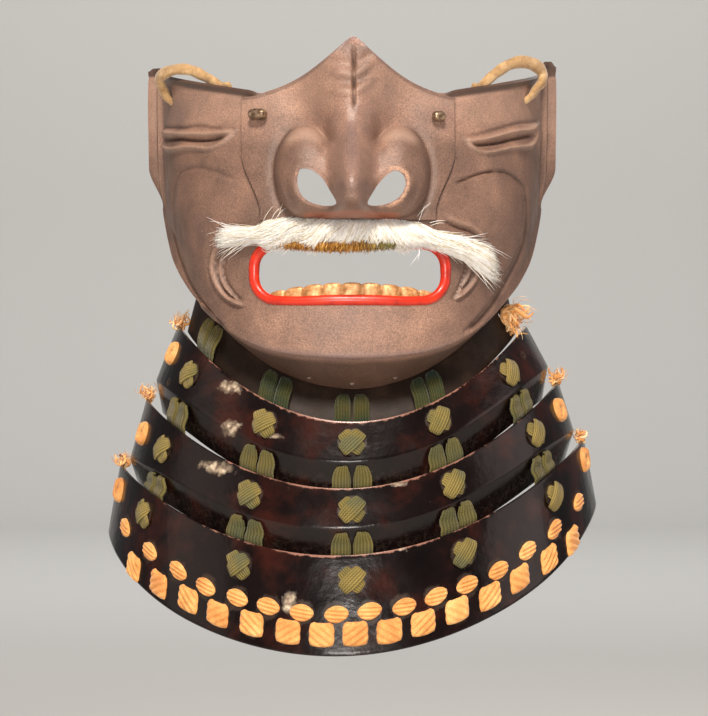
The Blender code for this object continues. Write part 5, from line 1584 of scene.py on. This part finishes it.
# The tuft above each end knot: its turn, and how far it reaches and spreads.
TUFTS = ((-87.0, 9.0, 3.6), (-87.0, 9.5, 4.2), (-84.0, 8.0, 3.6), (85.0, 9.0, 4.2), (82.0, 6.5, 3.0))

for (number, turn, place), (tuft_turn, reach, spread) in zip(END_KNOTS, TUFTS):
    side = math.copysign(1.0, turn)
    label = "left" if side < 0 else "right"
    point, sideways, _, outward = lame_place(number, tuft_turn, 0.0)
    upward = units(np.array([0.25 * side, 0.0, 1.0]))
    end = tuft(f"frayed_tuft_{number}_{label}", point - outward * 1.6 - upward * 1.2, upward, units(sideways),
               spread, reach, 13, 60, 1.15)
    slots = [(-side * across, up) for across, up in END_SLOTS]
    knot = pad_on_lame(f"end_knot_{number}_{label}", number, turn, place, *END_KNOT_SIZE, 0.42, (3.2, 0.6),
                       2.8, slots=slots)
    turned_out(knot)
    smooth(knot, 70.0)
    gaps = []
    for across, up in END_SLOTS:
        centre, _, fall, outward = lame_place(number, turn - side * across * END_KNOT_SIZE[0], place)
        centre = centre - units(fall) * END_KNOT_SIZE[1] * up + outward * 0.7
        gaps += [centre + units(fall) * step for step in (-1.3, -0.65, 0.0, 0.65, 1.3)]
    # Painted shade in the gaps between the knot's strands.
    mark(knot, slot=np.maximum(1.0 - ease((nearest(points_of(knot), gaps) - 0.3) / 0.45), 0.16))
    give(knot, orange_silk)
    for piece in (end, knot):
        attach(piece, "root")
        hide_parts(f"frayed_lace_{number}_{label}")

point, _, _, outward = lame_place(*BROKEN_PAIR)
corner = lame_place(2, 78.0, 0.0)
aim = units(corner[0] + corner[3] * 5.0 - point)
sideways = units(np.cross(aim, outward))
burst = tuft("frayed_burst_1_right", point + outward * 0.8, aim, sideways, 2.4, 15.0, 30, 160, 1.7, 0.7)
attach(burst, "root")
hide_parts("frayed_lace_1_right")

# ---------------------------------------------------------------- floor, light and camera
# The guard is shown as it is worn, in front of a plain pale floor and wall, under soft light from above.

FLOOR_HEIGHT = -0.3
floor = new_piece("floor", "plane", size=6.0, location=(0.0, 1.6, FLOOR_HEIGHT))
bpy.ops.object.mode_set(mode="EDIT")
bpy.ops.mesh.select_mode(type="EDGE")
bpy.ops.mesh.select_all(action="DESELECT")
bpy.ops.object.mode_set(mode="OBJECT")
for edge in floor.data.edges:
    edge.select = all(floor.data.vertices[index].co.y > 0.0 for index in edge.vertices)
bpy.ops.object.mode_set(mode="EDIT")
bpy.ops.mesh.extrude_region_move(TRANSFORM_OT_translate={"value": (0.0, 0.0, 3.0)})
bpy.ops.object.mode_set(mode="OBJECT")
paper = new_material("pale_backdrop_paper")
set_shader(paper, {"Base Color": "#d2d0cc", "Roughness": 0.9})
give(floor, paper)
finish_with(floor, "BEVEL", "sweep", width=0.6, segments=12)
smooth(floor, 60.0)


def soft_light(name, place, aim, size, watts, colour):
    nothing_selected()
    bpy.ops.object.light_add(type="AREA", location=place)
    lamp = bpy.context.object
    lamp.name = name
    lamp.data.shape = "RECTANGLE"
    lamp.data.size, lamp.data.size_y = size
    lamp.data.energy = watts
    lamp.data.color = linear(colour)[:3]
    lamp.rotation_euler = (Vector(aim) - Vector(place)).to_track_quat("-Z", "Y").to_euler()


soft_light("key_light", (-0.04, -1.0, 1.25), (0.0, 0.0, 0.02), (0.4, 0.4), 36.5, "#fff4e8")
soft_light("front_light", (-0.1, -1.7, 0.06), (0.0, 0.0, 0.0), (0.4, 0.3), 17.0, "#fff8f0")
soft_light("right_light", (1.15, -0.1, 0.25), (0.0, 0.02, -0.02), (0.8, 0.8), 3.0, "#ffece4")
soft_light("left_light", (-1.15, -0.2, 0.2), (0.0, 0.02, 0.0), (0.8, 0.8), 1.7, "#ffe8da")
soft_light("back_light", (0.3, 1.3, 0.6), (0.0, 0.04, 0.0), (0.6, 0.6), 2.2, "#fff8f0")
soft_light("wall_light", (0.0, 2.2, 2.2), (0.0, 4.2, 0.2), (3.0, 1.0), 60.0, "#ffffff")
world = bpy.data.worlds.new("studio")
bpy.context.scene.world = world
world.use_nodes = True
fill(world.node_tree.nodes["Background"], {"Color": "#e6e8ec", "Strength": 0.16})
bpy.context.scene.view_settings.view_transform = "Standard"

CAMERA_PLACE = (0.0008, -1.2, -0.0072)
VIEW_WIDTH = 0.2832
SENSOR_WIDTH = 36.0
nothing_selected()
bpy.ops.object.camera_add(location=CAMERA_PLACE, rotation=(math.radians(90.0), 0.0, 0.0))
camera = bpy.context.object
camera.data.sensor_fit = "HORIZONTAL"
camera.data.sensor_width = SENSOR_WIDTH
camera.data.lens = SENSOR_WIDTH * -CAMERA_PLACE[1] / VIEW_WIDTH
camera.data.clip_start = 0.01
bpy.context.scene.camera = camera
